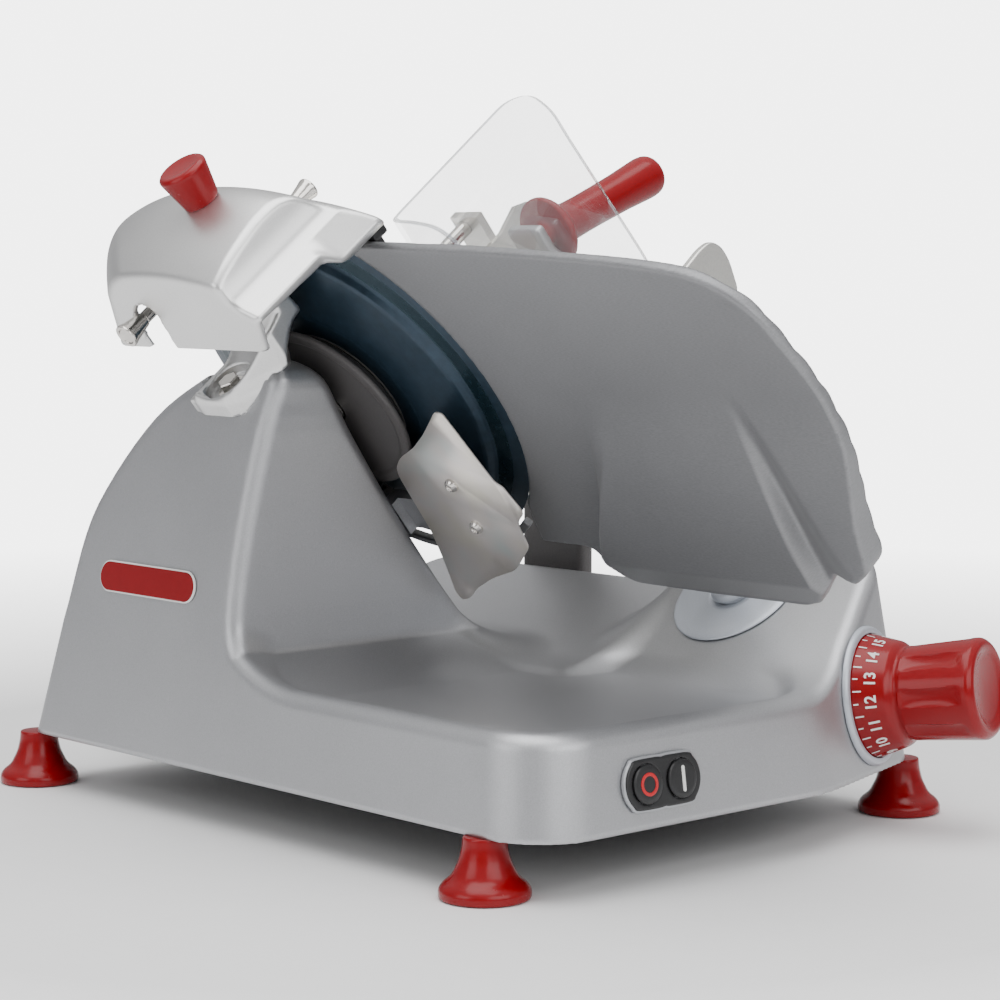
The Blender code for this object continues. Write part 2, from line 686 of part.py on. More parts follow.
def gauge():
    here = blade_matrix()
    face = BLADE_N - GAUGE_THICKNESS
    put("gauge_plate", prism(gauge_outline(), face, BLADE_N, "x"), gauge_aluminium(), here)
    side = [(0.1133, 0.128), (0.1200, 0.128), (0.1800, 0.060), (0.1800, 0.0365), (0.1520, 0.0365),
            (0.1520, 0.050), (0.1133, 0.092)]
    put("gauge_bracket", prism(side, -0.168, POST_Y - 0.002, "y"),
        cast_aluminium(), here)
    post = [(0.0, 0.0110), (0.0120, 0.0110), (0.0120, 0.0310), (0.0140, 0.0310),
            (0.0140, 0.0362), (0.0, 0.0362)]
    column = put("gauge_post", turned(post, 24), pale_plastic(), blade_matrix(POST_N, POST_Y))
    join(column, box((0.150, 0.182), (-0.140, -0.110), (-0.006, 0.0167)), here)
    cut(column, moved(along_n(disc(0.0063, 0.100, 0.220, 16)), y=POST_Y, z=0.004), here)
    plate = [(0.0124, SLOPE_U + GAP), (DISC_RADIUS, SLOPE_U + GAP), (DISC_RADIUS, 0.0285),
             (0.0360, 0.0300), (0.0124, 0.0300)]
    put("post_disc", turned(plate, 32), pale_plastic(), blade_matrix(POST_N, POST_Y))
    rod = [(0.0, 0.118), (0.006, 0.118), (0.006, 0.194), (0.0, 0.194)]
    turned_on_axis("gauge_guide_rod", rod, polished_steel(), POST_Y, 0.004, 16)


def knob():
    here = knob_matrix()
    edge = DIAL_RADIUS
    profile = [(0.0, 0.0010), (edge, 0.0010), (edge, 0.0040), (0.0300, 0.0210), (0.0262, 0.0250),
               (0.0272, 0.0300), (0.0285, 0.0360), (0.0285, 0.0690), (0.0262, 0.0720),
               (0.0220, 0.0720), (0.0, 0.0720)]
    put("thickness_knob", turned(profile, 32), red_plastic(), here)
    surround = [(0.0356, GAP), (0.0400, GAP), (0.0400, 0.0020), (0.0385, 0.0035), (0.0356, 0.0035)]
    put("dial_ring", turned(surround, 32), pale_plastic(), here)
    shaft = [(0.0, -0.0640), (0.0180, -0.0640), (0.0180, -0.0563), (0.0055, -0.0563),
             (0.0055, 0.0007), (0.0, 0.0007)]
    put("thickness_cam_shaft", turned(shaft, 20), polished_steel(), here)


# Switch --------------------------------------------------------------------
def switch():
    here = switch_matrix()
    lobe_x = 0.0125
    bezel = put("switch_bezel", disc(0.015, GAP, 0.0040, 24), black_plastic(),
                here @ Matrix.Translation((-lobe_x, 0.0, 0.0)))
    join(bezel, disc(0.015, GAP, 0.0040, 24), here @ Matrix.Translation((lobe_x, 0.0, 0.0)))
    join(bezel, box((-lobe_x, lobe_x), (-0.0130, 0.0130), (GAP, 0.0040)), here)
    join(bezel, box((-0.0220, 0.0220), (-0.0095, 0.0095), (-0.0300, 0.0010)), here)
    for name, x in (("off_button", -lobe_x), ("on_button", lobe_x)):
        place = here @ Matrix.Translation((x, 0.0, 0.0))
        cut(bezel, disc(0.0108, 0.0012, 0.0060, 20), place)
        cut(bezel, disc(0.0053, -0.0100, 0.0060, 16), place)
        button = [(0.0, -0.0055), (0.0050, -0.0055), (0.0050, 0.0034), (0.0105, 0.0034),
                  (0.0105, 0.0048), (0.0100, 0.0052), (0.0, 0.0052)]
        put(name, turned(button, 20), black_plastic(), place)


# Carriage ------------------------------------------------------------------
def slide_parts():
    here = world_matrix(ROD_X, 0.0, ROD_Z)
    put("slide_rod", along_y(disc(ROD_RADIUS, -0.200, 0.196, 20)), polished_steel(), here)
    middle = (ARM_Y[0] + ARM_Y[1]) / 2
    block = put("slide_block", box((-0.016, 0.0138), (middle - 0.029, middle + 0.029),
                                   (-0.0135, 0.0135)), cast_aluminium(), here)
    cut(block, along_y(disc(0.0120, middle - 0.040, middle + 0.040, 20)), here)
    bush = ring(ROD_RADIUS + GAP, 0.0116, middle - 0.028, middle + 0.028, 20)
    put("slide_bush", along_y(bush), stainless(), here)


def carriage_arm():
    def at(n, u):
        point = blade_matrix() @ Vector((n, 0.0, u))
        return (point.x, point.z)

    under = TABLE_U - 0.0043
    side = [at(0.250, under), at(0.318, under), (ARM_FAR_X, 0.296), (ARM_FAR_X, 0.0585),
            (0.1541, 0.0585), (0.1541, 0.0745), (ARM_NEAR_X, 0.0745), (ARM_NEAR_X, 0.275),
            at(0.250, under - 0.012)]
    put("carriage_arm", prism(side, *ARM_Y, "y"), grey_plastic(), world_matrix())
    lock = [(0.0, 0.0003), (0.010, 0.0003), (0.014, 0.006), (0.014, 0.016), (0.011, 0.019),
            (0.0, 0.019)]
    place = axis_matrix((ARM_FAR_X, 0.101, 0.066), (1, 0, 0))
    put("carriage_lock_knob", turned(lock, 20), red_plastic(), place)


def table():
    here = blade_matrix()
    low = TABLE_U - 0.004
    put("product_table", box((TABLE_NEAR, TABLE_FAR), (FENCE_Y - 0.005, BACK_WALL_Y + 0.004),
                             (low, TABLE_U - GAP)), pale_aluminium(), here)
    side = [(0.1222, TABLE_U), (0.303, TABLE_U), (0.3085, 0.166), (0.3080, 0.177),
            (0.3030, 0.185), (0.2930, FENCE_TOP), (0.1222, FENCE_TOP - 0.007)]
    fence = put("front_fence", prism(side, FENCE_Y - 0.005, FENCE_Y, "y"), pale_aluminium(), here)
    side = [(0.120, TABLE_U), (0.303, TABLE_U), (0.345, 0.178), (0.342, 0.188), (0.330, 0.193),
            (0.310, FENCE_TOP), (0.120, FENCE_TOP)]
    wall = put("back_wall", prism(side, BACK_WALL_Y, BACK_WALL_Y + 0.004, "y"), pale_aluminium(), here)
    for start in (0.128, 0.300):
        join(wall, box((start, start + 0.006), (BACK_WALL_Y + 0.002, 0.124), (0.176, 0.208)), here)
    cut(wall, moved(along_n(disc(0.0053, 0.100, 0.320, 16)), y=PUSHER_ROD_Y, z=PUSHER_ROD_U), here)
    guard = hand_guard()
    for name, n in (("guard_screw_near", 0.145), ("guard_screw_far", 0.235)):
        place = here @ Matrix.Translation((n, 0.0, 0.172))
        cut(guard, along_y(disc(0.0026, -0.110, -0.080, 12)), place)
        cut(fence, along_y(disc(0.0026, -0.110, -0.080, 12)), place)
        screw = [(0.0, FENCE_Y - 0.004), (0.0023, FENCE_Y - 0.004), (0.0023, -0.0874),
                 (0.0050, -0.0874), (0.0042, -0.0845), (0.0, -0.0845)]
        put(name, along_y(turned(screw, 16)), polished_steel(), place)


def hand_guard():
    """A clear sheet standing on the fence, with a wing bent towards the operator."""
    here = blade_matrix()
    top = 0.3455
    side = [(0.121, 0.150), (0.258, 0.150), (0.258, 0.214), (0.2525, 0.300),
            *arc((0.2270, 0.3200), 0.0255, 0, 90, 6), (0.121, top)]
    guard = put("hand_guard", prism(side, -0.0907, -0.0877, "y"), clear_plastic(), here)
    wing = [(-0.0885, 0.150), (-0.0885, top), (-0.105, top), (-0.122, 0.3425), (-0.131, 0.337),
            (-0.134, 0.328), (-0.134, 0.150)]
    join(guard, prism(wing, 0.1180, 0.1215, "x"), here)
    return guard


def pusher():
    rod = [(0.0, 0.1265), (0.005, 0.1265), (0.005, 0.3075), (0.0, 0.3075)]
    turned_on_axis("pusher_rod", rod, polished_steel(), PUSHER_ROD_Y, PUSHER_ROD_U, 16)
    pivot = blade_matrix(0.0, PUSHER_ROD_Y, PUSHER_ROD_U)
    bush = [(0.0053, 0.2360), (0.0100, 0.2360), (0.0100, 0.2390), (0.0076, 0.2390),
            (0.0076, 0.2670), (0.0100, 0.2670), (0.0100, 0.2700), (0.0053, 0.2700)]
    turned_on_axis("pusher_bush", bush, polished_steel(), PUSHER_ROD_Y, PUSHER_ROD_U, 20)
    arm = put("pusher_arm", box((0.2393, 0.2667), (-0.011, 0.011), (-0.011, 0.011)),
              cast_aluminium(), pivot)
    join(arm, box((0.2543, 0.2620), (-0.128, -0.005), (-0.005, 0.008)), pivot)
    join(arm, box((0.2543, 0.2620), (-0.128, -0.100), (-0.005, 0.032)), pivot)
    cut(arm, along_n(disc(0.0079, 0.200, 0.300, 20)), pivot)
    put("pusher_plate", box((PUSHER_N, PUSHER_N + 0.004), (-0.184, -0.030), (-0.048, 0.012)),
        pale_aluminium(), pivot)
    handle = [(0.0, -0.0060), (0.0080, -0.0060), (0.0080, 0.0), (0.0225, 0.0), (0.0232, 0.0030),
              (0.0200, 0.0075), (0.0130, 0.0120), (0.0118, 0.0300), (0.0122, 0.0650),
              (0.0135, 0.0880), (0.0128, 0.0960), (0.0090, 0.1000), (0.0, 0.1005)]
    heading = (math.cos(HANDLE_DROP), 0.0, -math.sin(HANDLE_DROP))
    put("pusher_handle", turned(handle, 20), red_plastic(), here_at(HANDLE_POINT, heading))


def here_at(point, heading):
    """A frame at a blade-frame point with local Z along a blade-frame heading."""
    return blade_matrix() @ axis_matrix(point, heading)


# Electrics -----------------------------------------------------------------
def electrics():
    board = put("control_board", box((-0.130, -0.040), (-0.190, -0.120), (0.0400, 0.0416)),
                board_green(), world_matrix())
    join(board, box((-0.115, -0.085), (-0.180, -0.155), (0.0410, 0.0600)), world_matrix())
    join(board, box((-0.075, -0.055), (-0.150, -0.130), (0.0410, 0.0520)), world_matrix())
    gland = [(0.0044, -0.012), (0.0080, -0.012), (0.0080, 0.0080), (0.0115, 0.0080),
             (0.0115, 0.0140), (0.0075, 0.0260), (0.0044, 0.0260)]
    place = axis_matrix((-0.060, BASE_BACK - 0.006, 0.060), (0, 1, 0))
    put("cable_gland", turned(gland, 16), black_plastic(), place)
    power_cable()


def power_cable():
    """The cord: out through the gland, down to the ground and along the back."""
    curve = bpy.data.curves.new("power_cable", "CURVE")
    curve.dimensions = "3D"
    curve.bevel_depth = CABLE_RADIUS
    curve.bevel_resolution = 1
    curve.resolution_u = 4
    curve.render_resolution_u = 4
    curve.use_fill_caps = True
    line = curve.splines.new("BEZIER")
    line.bezier_points.add(len(CABLE_WAY) - 1)
    for point, place in zip(line.bezier_points, CABLE_WAY):
        point.co = place
        point.handle_left_type = "AUTO"
        point.handle_right_type = "AUTO"
    for point in line.bezier_points[:2]:
        point.handle_left_type = "VECTOR"
    line.bezier_points[0].handle_right_type = "VECTOR"
    curve.materials.append(rubber())
    cord = bpy.data.objects.new("power_cable", curve)
    bpy.context.scene.collection.objects.link(cord)


def assemble():
    for old in list(bpy.data.objects):
        bpy.data.objects.remove(old)
    base_casting()
    bottom_cover()
    feet()
    badge_plate()
    motor()
    drive_belt()
    blade_group()
    guard_ring()
    deflector()
    belt_cover()
    sharpener_bracket()
    sharpener_cover()
    sharpener_knob()
    stones()
    gauge()
    knob()
    switch()
    slide_parts()
    carriage_arm()
    table()
    pusher()
    electrics()


assemble()
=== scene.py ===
"""Looks of the deli slicer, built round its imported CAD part."""
import json
import math

import bmesh
import bpy
import numpy as np
from mathutils import Euler, Matrix, Vector


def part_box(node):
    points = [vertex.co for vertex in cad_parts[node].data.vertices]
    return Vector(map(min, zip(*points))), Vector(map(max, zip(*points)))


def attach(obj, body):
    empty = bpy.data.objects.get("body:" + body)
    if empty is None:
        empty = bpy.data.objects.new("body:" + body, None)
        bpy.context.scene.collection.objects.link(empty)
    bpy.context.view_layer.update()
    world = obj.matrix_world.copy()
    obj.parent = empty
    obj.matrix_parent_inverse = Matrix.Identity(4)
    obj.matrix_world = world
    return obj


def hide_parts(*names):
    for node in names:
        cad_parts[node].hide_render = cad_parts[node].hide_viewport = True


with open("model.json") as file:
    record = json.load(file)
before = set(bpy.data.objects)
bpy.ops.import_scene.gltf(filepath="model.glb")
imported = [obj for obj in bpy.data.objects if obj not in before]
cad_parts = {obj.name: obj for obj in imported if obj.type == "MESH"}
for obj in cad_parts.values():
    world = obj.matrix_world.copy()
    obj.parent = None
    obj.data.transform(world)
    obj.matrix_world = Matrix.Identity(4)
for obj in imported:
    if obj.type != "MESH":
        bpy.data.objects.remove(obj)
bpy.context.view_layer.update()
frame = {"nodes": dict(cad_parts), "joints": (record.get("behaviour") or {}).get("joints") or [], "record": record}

NODES = frame["nodes"]
BODY_OF = {node: body for body, names in frame["record"]["behaviour"]["bodies"].items() for node in names}
JOINTS = {joint["name"]: joint for joint in frame["joints"]}
SLOT_OF = {name: node.data.materials[0].name for name, node in NODES.items()}

# The blade frame: n along the blade axis, y along the carriage, u up the blade.
AXIS = Vector(JOINTS["blade_spin"]["axis"])
TILT = math.atan2(AXIS.z, AXIS.x)
BLADE = Matrix.Rotation(-TILT, 4, "Y")
HUB = BLADE.inverted() @ Vector(JOINTS["blade_spin"]["pos_m"])
WORLD = Matrix.Identity(4)
DRAFT = math.tan(math.radians(8))
FOOT_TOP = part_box("foot_front_left")[1].z


# Measuring the CAD ---------------------------------------------------------
def extent(node, place=WORLD):
    """Lowest and highest corner of a CAD node in a local frame."""
    back = place.inverted()
    points = np.array([back @ v.co for v in NODES[node].data.vertices])
    return Vector(points.min(0)), Vector(points.max(0))


def centre(node, place=WORLD):
    low, high = extent(node, place)
    return (low + high) / 2


def along(point, direction):
    """A frame at a point with local Z along a direction."""
    turn = Vector(direction).normalized().to_track_quat("Z", "Y")
    return Matrix.Translation(point) @ turn.to_matrix().to_4x4()


def on_n(y, u, n=0.0):
    """A frame in the blade frame with local Z along n."""
    return BLADE @ Matrix.Translation((n, y, u)) @ Matrix.Rotation(math.pi / 2, 4, "Y")


# Materials -----------------------------------------------------------------
def ramp(tree, source, low, high, start, end):
    """Maps source values low..high to start..end."""
    node = tree.nodes.new("ShaderNodeMapRange")
    node.inputs["From Min"].default_value = low
    node.inputs["From Max"].default_value = high
    node.inputs["To Min"].default_value = start
    node.inputs["To Max"].default_value = end
    tree.links.new(source, node.inputs["Value"])
    return node.outputs["Result"]


def noise(tree, scale, detail=3.0, stretch=(1.0, 1.0, 1.0), rough=0.6):
    where = tree.nodes.new("ShaderNodeTexCoord")
    shape = tree.nodes.new("ShaderNodeMapping")
    shape.inputs["Scale"].default_value = stretch
    made = tree.nodes.new("ShaderNodeTexNoise")
    made.inputs["Scale"].default_value = scale
    made.inputs["Detail"].default_value = detail
    made.inputs["Roughness"].default_value = rough
    tree.links.new(where.outputs["Object"], shape.inputs["Vector"])
    tree.links.new(shape.outputs["Vector"], made.inputs["Vector"])
    return made.outputs["Fac"]


def scaled(colour, factor):
    return (*[min(1.0, c * factor) for c in colour], 1.0)


def finish(name, colour, roughness, metallic=0.0, grain=900.0, bump=0.05, contrast=0.12,
           stretch=(1.0, 1.0, 1.0), wear=0.06, coat=0.0):
    """A Principled finish with fine grain, slow colour drift and uneven gloss."""
    made = bpy.data.materials.new(name)
    made.use_nodes = True
    tree = made.node_tree
    shader = tree.nodes["Principled BSDF"]
    fine = noise(tree, grain, 4.0, stretch)
    slow = noise(tree, 9.0, 3.0)
    mix = tree.nodes.new("ShaderNodeMix")
    mix.data_type = "RGBA"
    mix.inputs["A"].default_value = scaled(colour, 1.0 - contrast)
    mix.inputs["B"].default_value = scaled(colour, 1.0 + contrast)
    tree.links.new(ramp(tree, fine, 0.3, 0.7, 0.0, 1.0), mix.inputs["Factor"])
    drift = tree.nodes.new("ShaderNodeMix")
    drift.data_type = "RGBA"
    drift.blend_type = "MULTIPLY"
    drift.inputs["Factor"].default_value = 1.0
    tree.links.new(mix.outputs["Result"], drift.inputs["A"])
    shade = ramp(tree, slow, 0.3, 0.7, 1.0 - wear, 1.0)
    tree.links.new(shade, drift.inputs["B"])
    tree.links.new(drift.outputs["Result"], shader.inputs["Base Color"])
    gloss = tree.nodes.new("ShaderNodeMath")
    gloss.operation = "ADD"
    tree.links.new(ramp(tree, fine, 0.3, 0.7, roughness - 0.03, roughness + 0.03), gloss.inputs[0])
    tree.links.new(ramp(tree, slow, 0.3, 0.7, -wear / 3, wear / 3), gloss.inputs[1])
    tree.links.new(gloss.outputs["Value"], shader.inputs["Roughness"])
    relief = tree.nodes.new("ShaderNodeBump")
    relief.inputs["Strength"].default_value = bump
    relief.inputs["Distance"].default_value = 0.001
    tree.links.new(fine, relief.inputs["Height"])
    tree.links.new(relief.outputs["Normal"], shader.inputs["Normal"])
    shader.inputs["Metallic"].default_value = metallic
    shader.inputs["Coat Weight"].default_value = coat
    shader.inputs["Coat Roughness"].default_value = 0.05
    return made


def clear_finish(name, colour, alpha):
    made = finish(name, colour, 0.03, grain=300.0, bump=0.004, contrast=0.01, wear=0.01)
    shader = made.node_tree.nodes["Principled BSDF"]
    shader.inputs["Transmission Weight"].default_value = 0.9
    shader.inputs["IOR"].default_value = 1.15
    shader.inputs["Alpha"].default_value = alpha
    return made


def tinted_steel():
    """Stainless sheet with a faint straw-to-violet oil sheen."""
    made = finish("stainless_sheen", (0.78, 0.76, 0.70), 0.36, 0.6, 500.0, 0.03, 0.05, (1.0, 8.0, 1.0))
    tree = made.node_tree
    shader = tree.nodes["Principled BSDF"]
    hue = tree.nodes.new("ShaderNodeValToRGB")
    hue.color_ramp.elements[0].color = (0.80, 0.76, 0.66, 1.0)
    hue.color_ramp.elements[1].color = (0.72, 0.78, 0.76, 1.0)
    extra = hue.color_ramp.elements.new(0.5)
    extra.color = (0.80, 0.75, 0.72, 1.0)
    tree.links.new(ramp(tree, noise(tree, 22.0, 2.0), 0.3, 0.7, 0.0, 1.0), hue.inputs["Fac"])
    tree.links.new(hue.outputs["Color"], shader.inputs["Base Color"])
    return made


def red_finish():
    made = finish("red_plastic_v", (0.235, 0.0004, 0.003), 0.24, 0.0, 300.0, 0.006, 0.03, coat=0.05)
    made.node_tree.nodes["Principled BSDF"].inputs["Specular IOR Level"].default_value = 0.30
    return made


FINISHES = {
    "cast_aluminium": finish("cast_aluminium_v", (0.475, 0.48, 0.495), 0.42, 0.85, 1400.0, 0.10, 0.10),
    "bright_aluminium": finish("bright_aluminium_v", (0.78, 0.78, 0.775), 0.33, 0.92, 900.0, 0.02, 0.04),
    "gauge_aluminium": finish("gauge_aluminium_v", (0.255, 0.257, 0.266), 0.46, 0.6, 420.0, 0.12, 0.12,
                              (1.0, 1.0, 6.0)),
    "pale_aluminium": finish("pale_aluminium_v", (0.80, 0.79, 0.75), 0.38, 1.0, 700.0, 0.05, 0.05,
                             (1.0, 6.0, 1.0)),
    "blade_steel": finish("blade_steel_v", (0.024, 0.046, 0.070), 0.32, 0.45, 160.0, 0.05, 0.15),
    "stainless": tinted_steel(),
    "polished_steel": finish("polished_steel_v", (0.74, 0.71, 0.67), 0.12, 1.0, 800.0, 0.03, 0.05),
    "red_plastic": red_finish(),
    "black_plastic": finish("black_plastic_v", (0.012, 0.012, 0.013), 0.38, 0.0, 900.0, 0.05, 0.2),
    "grey_plastic": finish("grey_plastic_v", (0.075, 0.07, 0.07), 0.5, 0.0, 900.0, 0.05, 0.15),
    "pale_plastic": finish("pale_plastic_v", (0.50, 0.53, 0.58), 0.34, 0.35, 900.0, 0.04, 0.05),
    "clear_plastic": clear_finish("clear_plastic_v", (0.95, 0.97, 1.0), 0.16),
    "rubber": finish("rubber_v", (0.018, 0.018, 0.018), 0.7, 0.0, 700.0, 0.12, 0.2),
    "stone": finish("stone_v", (0.45, 0.40, 0.36), 0.9, 0.0, 1500.0, 0.5, 0.3),
    "board_green": finish("board_green_v", (0.015, 0.11, 0.04), 0.45, 0.0, 300.0, 0.05, 0.2),
}
CLEAR_EDGE = clear_finish("clear_edge", (0.62, 0.68, 0.78), 0.75)
WHITE = finish("white_print", (0.80, 0.80, 0.78), 0.4, 0.0, 600.0, 0.02, 0.05)
LIGHT_RIM = finish("light_rim", (0.42, 0.43, 0.45), 0.35, 0.4, 600.0, 0.03, 0.05)
RED_PRINT = finish("red_print", (0.55, 0.01, 0.015), 0.35, 0.0, 600.0, 0.02, 0.05)


# Objects -------------------------------------------------------------------
def piece(name, mesh, place, nodes=(), body=None, look=None, sharp=40.0):
    """Shows a mesh that rides on a body and may stand for CAD nodes."""
    if isinstance(mesh, bmesh.types.BMesh):
        data = bpy.data.meshes.new(name)
        mesh.to_mesh(data)
        mesh.free()
    else:
        data = mesh
    data.shade_smooth()
    data.set_sharp_from_angle(angle=math.radians(sharp))
    made = bpy.data.objects.new(name, data)
    bpy.context.scene.collection.objects.link(made)
    made.matrix_world = place
    slot = SLOT_OF[nodes[0]] if nodes else None
    if look:
        data.materials.append(look)
    else:
        data.materials.append(FINISHES[slot])
    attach(made, body or BODY_OF[nodes[0]])
    if nodes:
        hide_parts(*nodes)
    return made


def bevel(made, width, segments=3, angle=30.0):
    step = made.modifiers.new("edges", "BEVEL")
    step.width = width
    step.segments = segments
    step.limit_method = "ANGLE"
    step.angle_limit = math.radians(angle)
    step.harden_normals = True
    return made


def lathe(profile, steps=96, shape=None):
    """Spins (radius, height) points about Z; shape(angle, height) scales the radius."""
    mesh = bmesh.new()
    rows = []
    for radius, height in profile:
        if radius < 1e-7:
            rows.append([mesh.verts.new((0.0, 0.0, height))])
            continue
        row = []
        for i in range(steps):
            angle = 2 * math.pi * i / steps
            r = radius * (shape(angle, height) if shape else 1.0)
            row.append(mesh.verts.new((r * math.cos(angle), r * math.sin(angle), height)))
        rows.append(row)
    closed = profile[0][0] > 1e-7 or profile[-1][0] > 1e-7
    pairs = list(zip(rows, rows[1:])) + ([(rows[-1], rows[0])] if closed else [])
    for low, high in pairs:
        for i in range(steps):
            j = (i + 1) % steps
            if len(low) == 1 and len(high) == 1:
                continue
            if len(low) == 1:
                mesh.faces.new((low[0], high[j], high[i]))
            elif len(high) == 1:
                mesh.faces.new((low[i], low[j], high[0]))
            else:
                mesh.faces.new((low[i], low[j], high[j], high[i]))
    bmesh.ops.recalc_face_normals(mesh, faces=mesh.faces)
    return mesh


def soften(points, radius, steps=4, closed=False):
    """Rounds the corners of an outline."""
    made = []
    count = len(points)
    for i, point in enumerate(points):
        here = Vector(point)
        if not closed and i in (0, count - 1):
            made.append(tuple(here))
            continue
        before = Vector(points[i - 1]) - here
        after = Vector(points[(i + 1) % count]) - here
        reach = min(radius, before.length * 0.45, after.length * 0.45)
        a = here + before.normalized() * reach
        b = here + after.normalized() * reach
        for k in range(steps + 1):
            t = k / steps
            made.append(tuple(a * (1 - t) ** 2 + here * 2 * t * (1 - t) + b * t * t))
    return made


def curved(points, steps=6, closed=True):
    """A smooth line through the points."""
    made = []
    count = len(points)
    for i in range(count if closed else count - 1):
        ends = [Vector(points[(i + k) % count] if closed else points[min(max(i + k, 0), count - 1)])
                for k in (-1, 0, 1, 2)]
        p, q, r, s = ends
        for k in range(steps):
            t = k / steps
            made.append(tuple(0.5 * (2 * q + (r - p) * t + (2 * p - 5 * q + 4 * r - s) * t * t
                                     + (3 * q - p - 3 * r + s) * t ** 3)))
    if not closed:
        made.append(tuple(points[-1]))
    return made


def arc(middle, radius, start, end, steps):
    made = []
    for i in range(steps + 1):
        angle = math.radians(start + (end - start) * i / steps)
        made.append((middle[0] + radius * math.cos(angle), middle[1] + radius * math.sin(angle)))
    return made


def slab(outline, start, end, order):
    """An outline pushed along one axis; order turns (a, b, depth) into x, y, z."""
    mesh = bmesh.new()
    low = [mesh.verts.new(order(a, b, start)) for a, b in outline]
    high = [mesh.verts.new(order(a, b, end)) for a, b in outline]
    mesh.faces.new(low)
    mesh.faces.new(high)
    for i in range(len(low)):
        j = (i + 1) % len(low)
        mesh.faces.new((low[i], low[j], high[j], high[i]))
    bmesh.ops.recalc_face_normals(mesh, faces=mesh.faces)
    return mesh


def across_n(a, b, depth):
    return (depth, a, b)


def across_y(a, b, depth):
    return (a, depth, b)


def across_z(a, b, depth):
    return (a, b, depth)


# Smooth castings -----------------------------------------------------------
def meet(a, b, radius):
    """Overlap of two solids with a rounded outside edge."""
    corner = np.sqrt(np.maximum(a + radius, 0) ** 2 + np.maximum(b + radius, 0) ** 2)
    return np.minimum(np.maximum(a, b), -radius) + corner


def blend(a, b, radius):
    """Union of two solids with a fillet between them."""
    return -meet(-a, -b, radius)


def outline_field(points, a, b):
    """Signed distance to a closed outline, negative inside."""
    a, b = np.broadcast_arrays(a, b)
    best = np.full(a.shape, 1e9)
    inside = np.zeros(a.shape, bool)
    for (a0, b0), (a1, b1) in zip(points, points[1:] + points[:1]):
        da, db = a1 - a0, b1 - b0
        t = np.clip(((a - a0) * da + (b - b0) * db) / max(da * da + db * db, 1e-12), 0, 1)
        best = np.minimum(best, (a - a0 - da * t) ** 2 + (b - b0 - db * t) ** 2)
        if abs(db) > 1e-12:
            inside ^= ((b0 <= b) != (b1 <= b)) & (a < da * (b - b0) / db + a0)
    return np.where(inside, -1.0, 1.0) * np.sqrt(best)


def box_field(x, y, z, low, high, radius):
    a = np.maximum(low[0] - x, x - high[0])
    b = np.maximum(low[1] - y, y - high[1])
    c = np.maximum(low[2] - z, z - high[2])
    return meet(meet(a, b, radius), c, radius)


CELL = [(i, j, k) for i in (0, 1) for j in (0, 1) for k in (0, 1)]
CELL_EDGES = [(a, b) for a in CELL for b in CELL if a < b and sum(abs(p - q) for p, q in zip(a, b)) == 1]


def cast(field, low, high, step, name):
    """Meshes the zero surface of a field, its points pulled on to the surface."""
    axes = [np.arange(a - 2 * step, b + 3 * step, step) for a, b in zip(low, high)]
    sparse = np.meshgrid(*axes, indexing="ij", sparse=True)
    value = np.broadcast_to(field(*sparse), [len(a) for a in axes])
    inside = value < 0
    size = [n - 1 for n in inside.shape]
    count = sum(inside[i:i + size[0], j:j + size[1], k:k + size[2]].astype(np.int8) for i, j, k in CELL)
    active = (count > 0) & (count < 8)
    index = np.full(active.shape, -1, np.int64)
    cells = np.argwhere(active)
    index[active] = np.arange(len(cells))
    total = np.zeros((len(cells), 3))
    hits = np.zeros(len(cells))
    for a, b in CELL_EDGES:
        first = value[tuple((cells + a).T)]
        second = value[tuple((cells + b).T)]
        crosses = (first < 0) != (second < 0)
        t = np.where(crosses, first / np.where(crosses, first - second, 1.0), 0.0)
        spot = np.array(a) + np.outer(t, np.array(b) - np.array(a))
        total += spot * crosses[:, None]
        hits += crosses
    points = (cells + total / hits[:, None]) * step + [a[0] for a in axes]
    quads = []
    for axis in range(3):
        one, two = (axis + 1) % 3, (axis + 2) % 3
        lower = [slice(0, -1) if k == axis else slice(1, -1) for k in range(3)]
        upper = [slice(1, None) if k == axis else slice(1, -1) for k in range(3)]
        change = inside[tuple(lower)] != inside[tuple(upper)]
        edges = np.argwhere(change) + [0 if k == axis else 1 for k in range(3)]
        flip = ~inside[tuple(edges.T)]
        shift_one = np.eye(3, dtype=int)[one]
        shift_two = np.eye(3, dtype=int)[two]
        ring = [index[tuple((edges - s).T)] for s in (0, shift_one, shift_one + shift_two, shift_two)]
        quad = np.stack(ring, 1)
        quad[flip] = quad[flip][:, ::-1]
        quads.append(quad)
    quads = np.concatenate(quads)
    for _ in range(3):
        here = field(*points.T)
        slope = np.stack([(field(*(points + d).T) - field(*(points - d).T)) / 2e-4
                          for d in np.eye(3) * 1e-4], 1)
        move = (here / np.maximum((slope ** 2).sum(1), 0.2))[:, None] * slope
        length = np.linalg.norm(move, axis=1, keepdims=True)
        points = points - move * np.minimum(1.0, 0.4 * step / np.maximum(length, 1e-9))
    data = bpy.data.meshes.new(name)
    data.from_pydata(points.tolist(), [], quads.tolist())
    data.validate()
    return data


# Base ----------------------------------------------------------------------
BASE_LOW, BASE_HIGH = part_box("base_casting")
LEFT, FRONT = BASE_LOW.x, BASE_LOW.y
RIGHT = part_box("base_casting")[1].x
BACK = BASE_HIGH.y
KINK_X = 0.047
FRONT_SLOPE = 0.040 / (RIGHT - KINK_X)
RIM_Z = 0.086
PAN_Z = 0.080
HOUSING_N = 0.082
SLOPE_U = 0.027
POST = centre("gauge_post", BLADE)

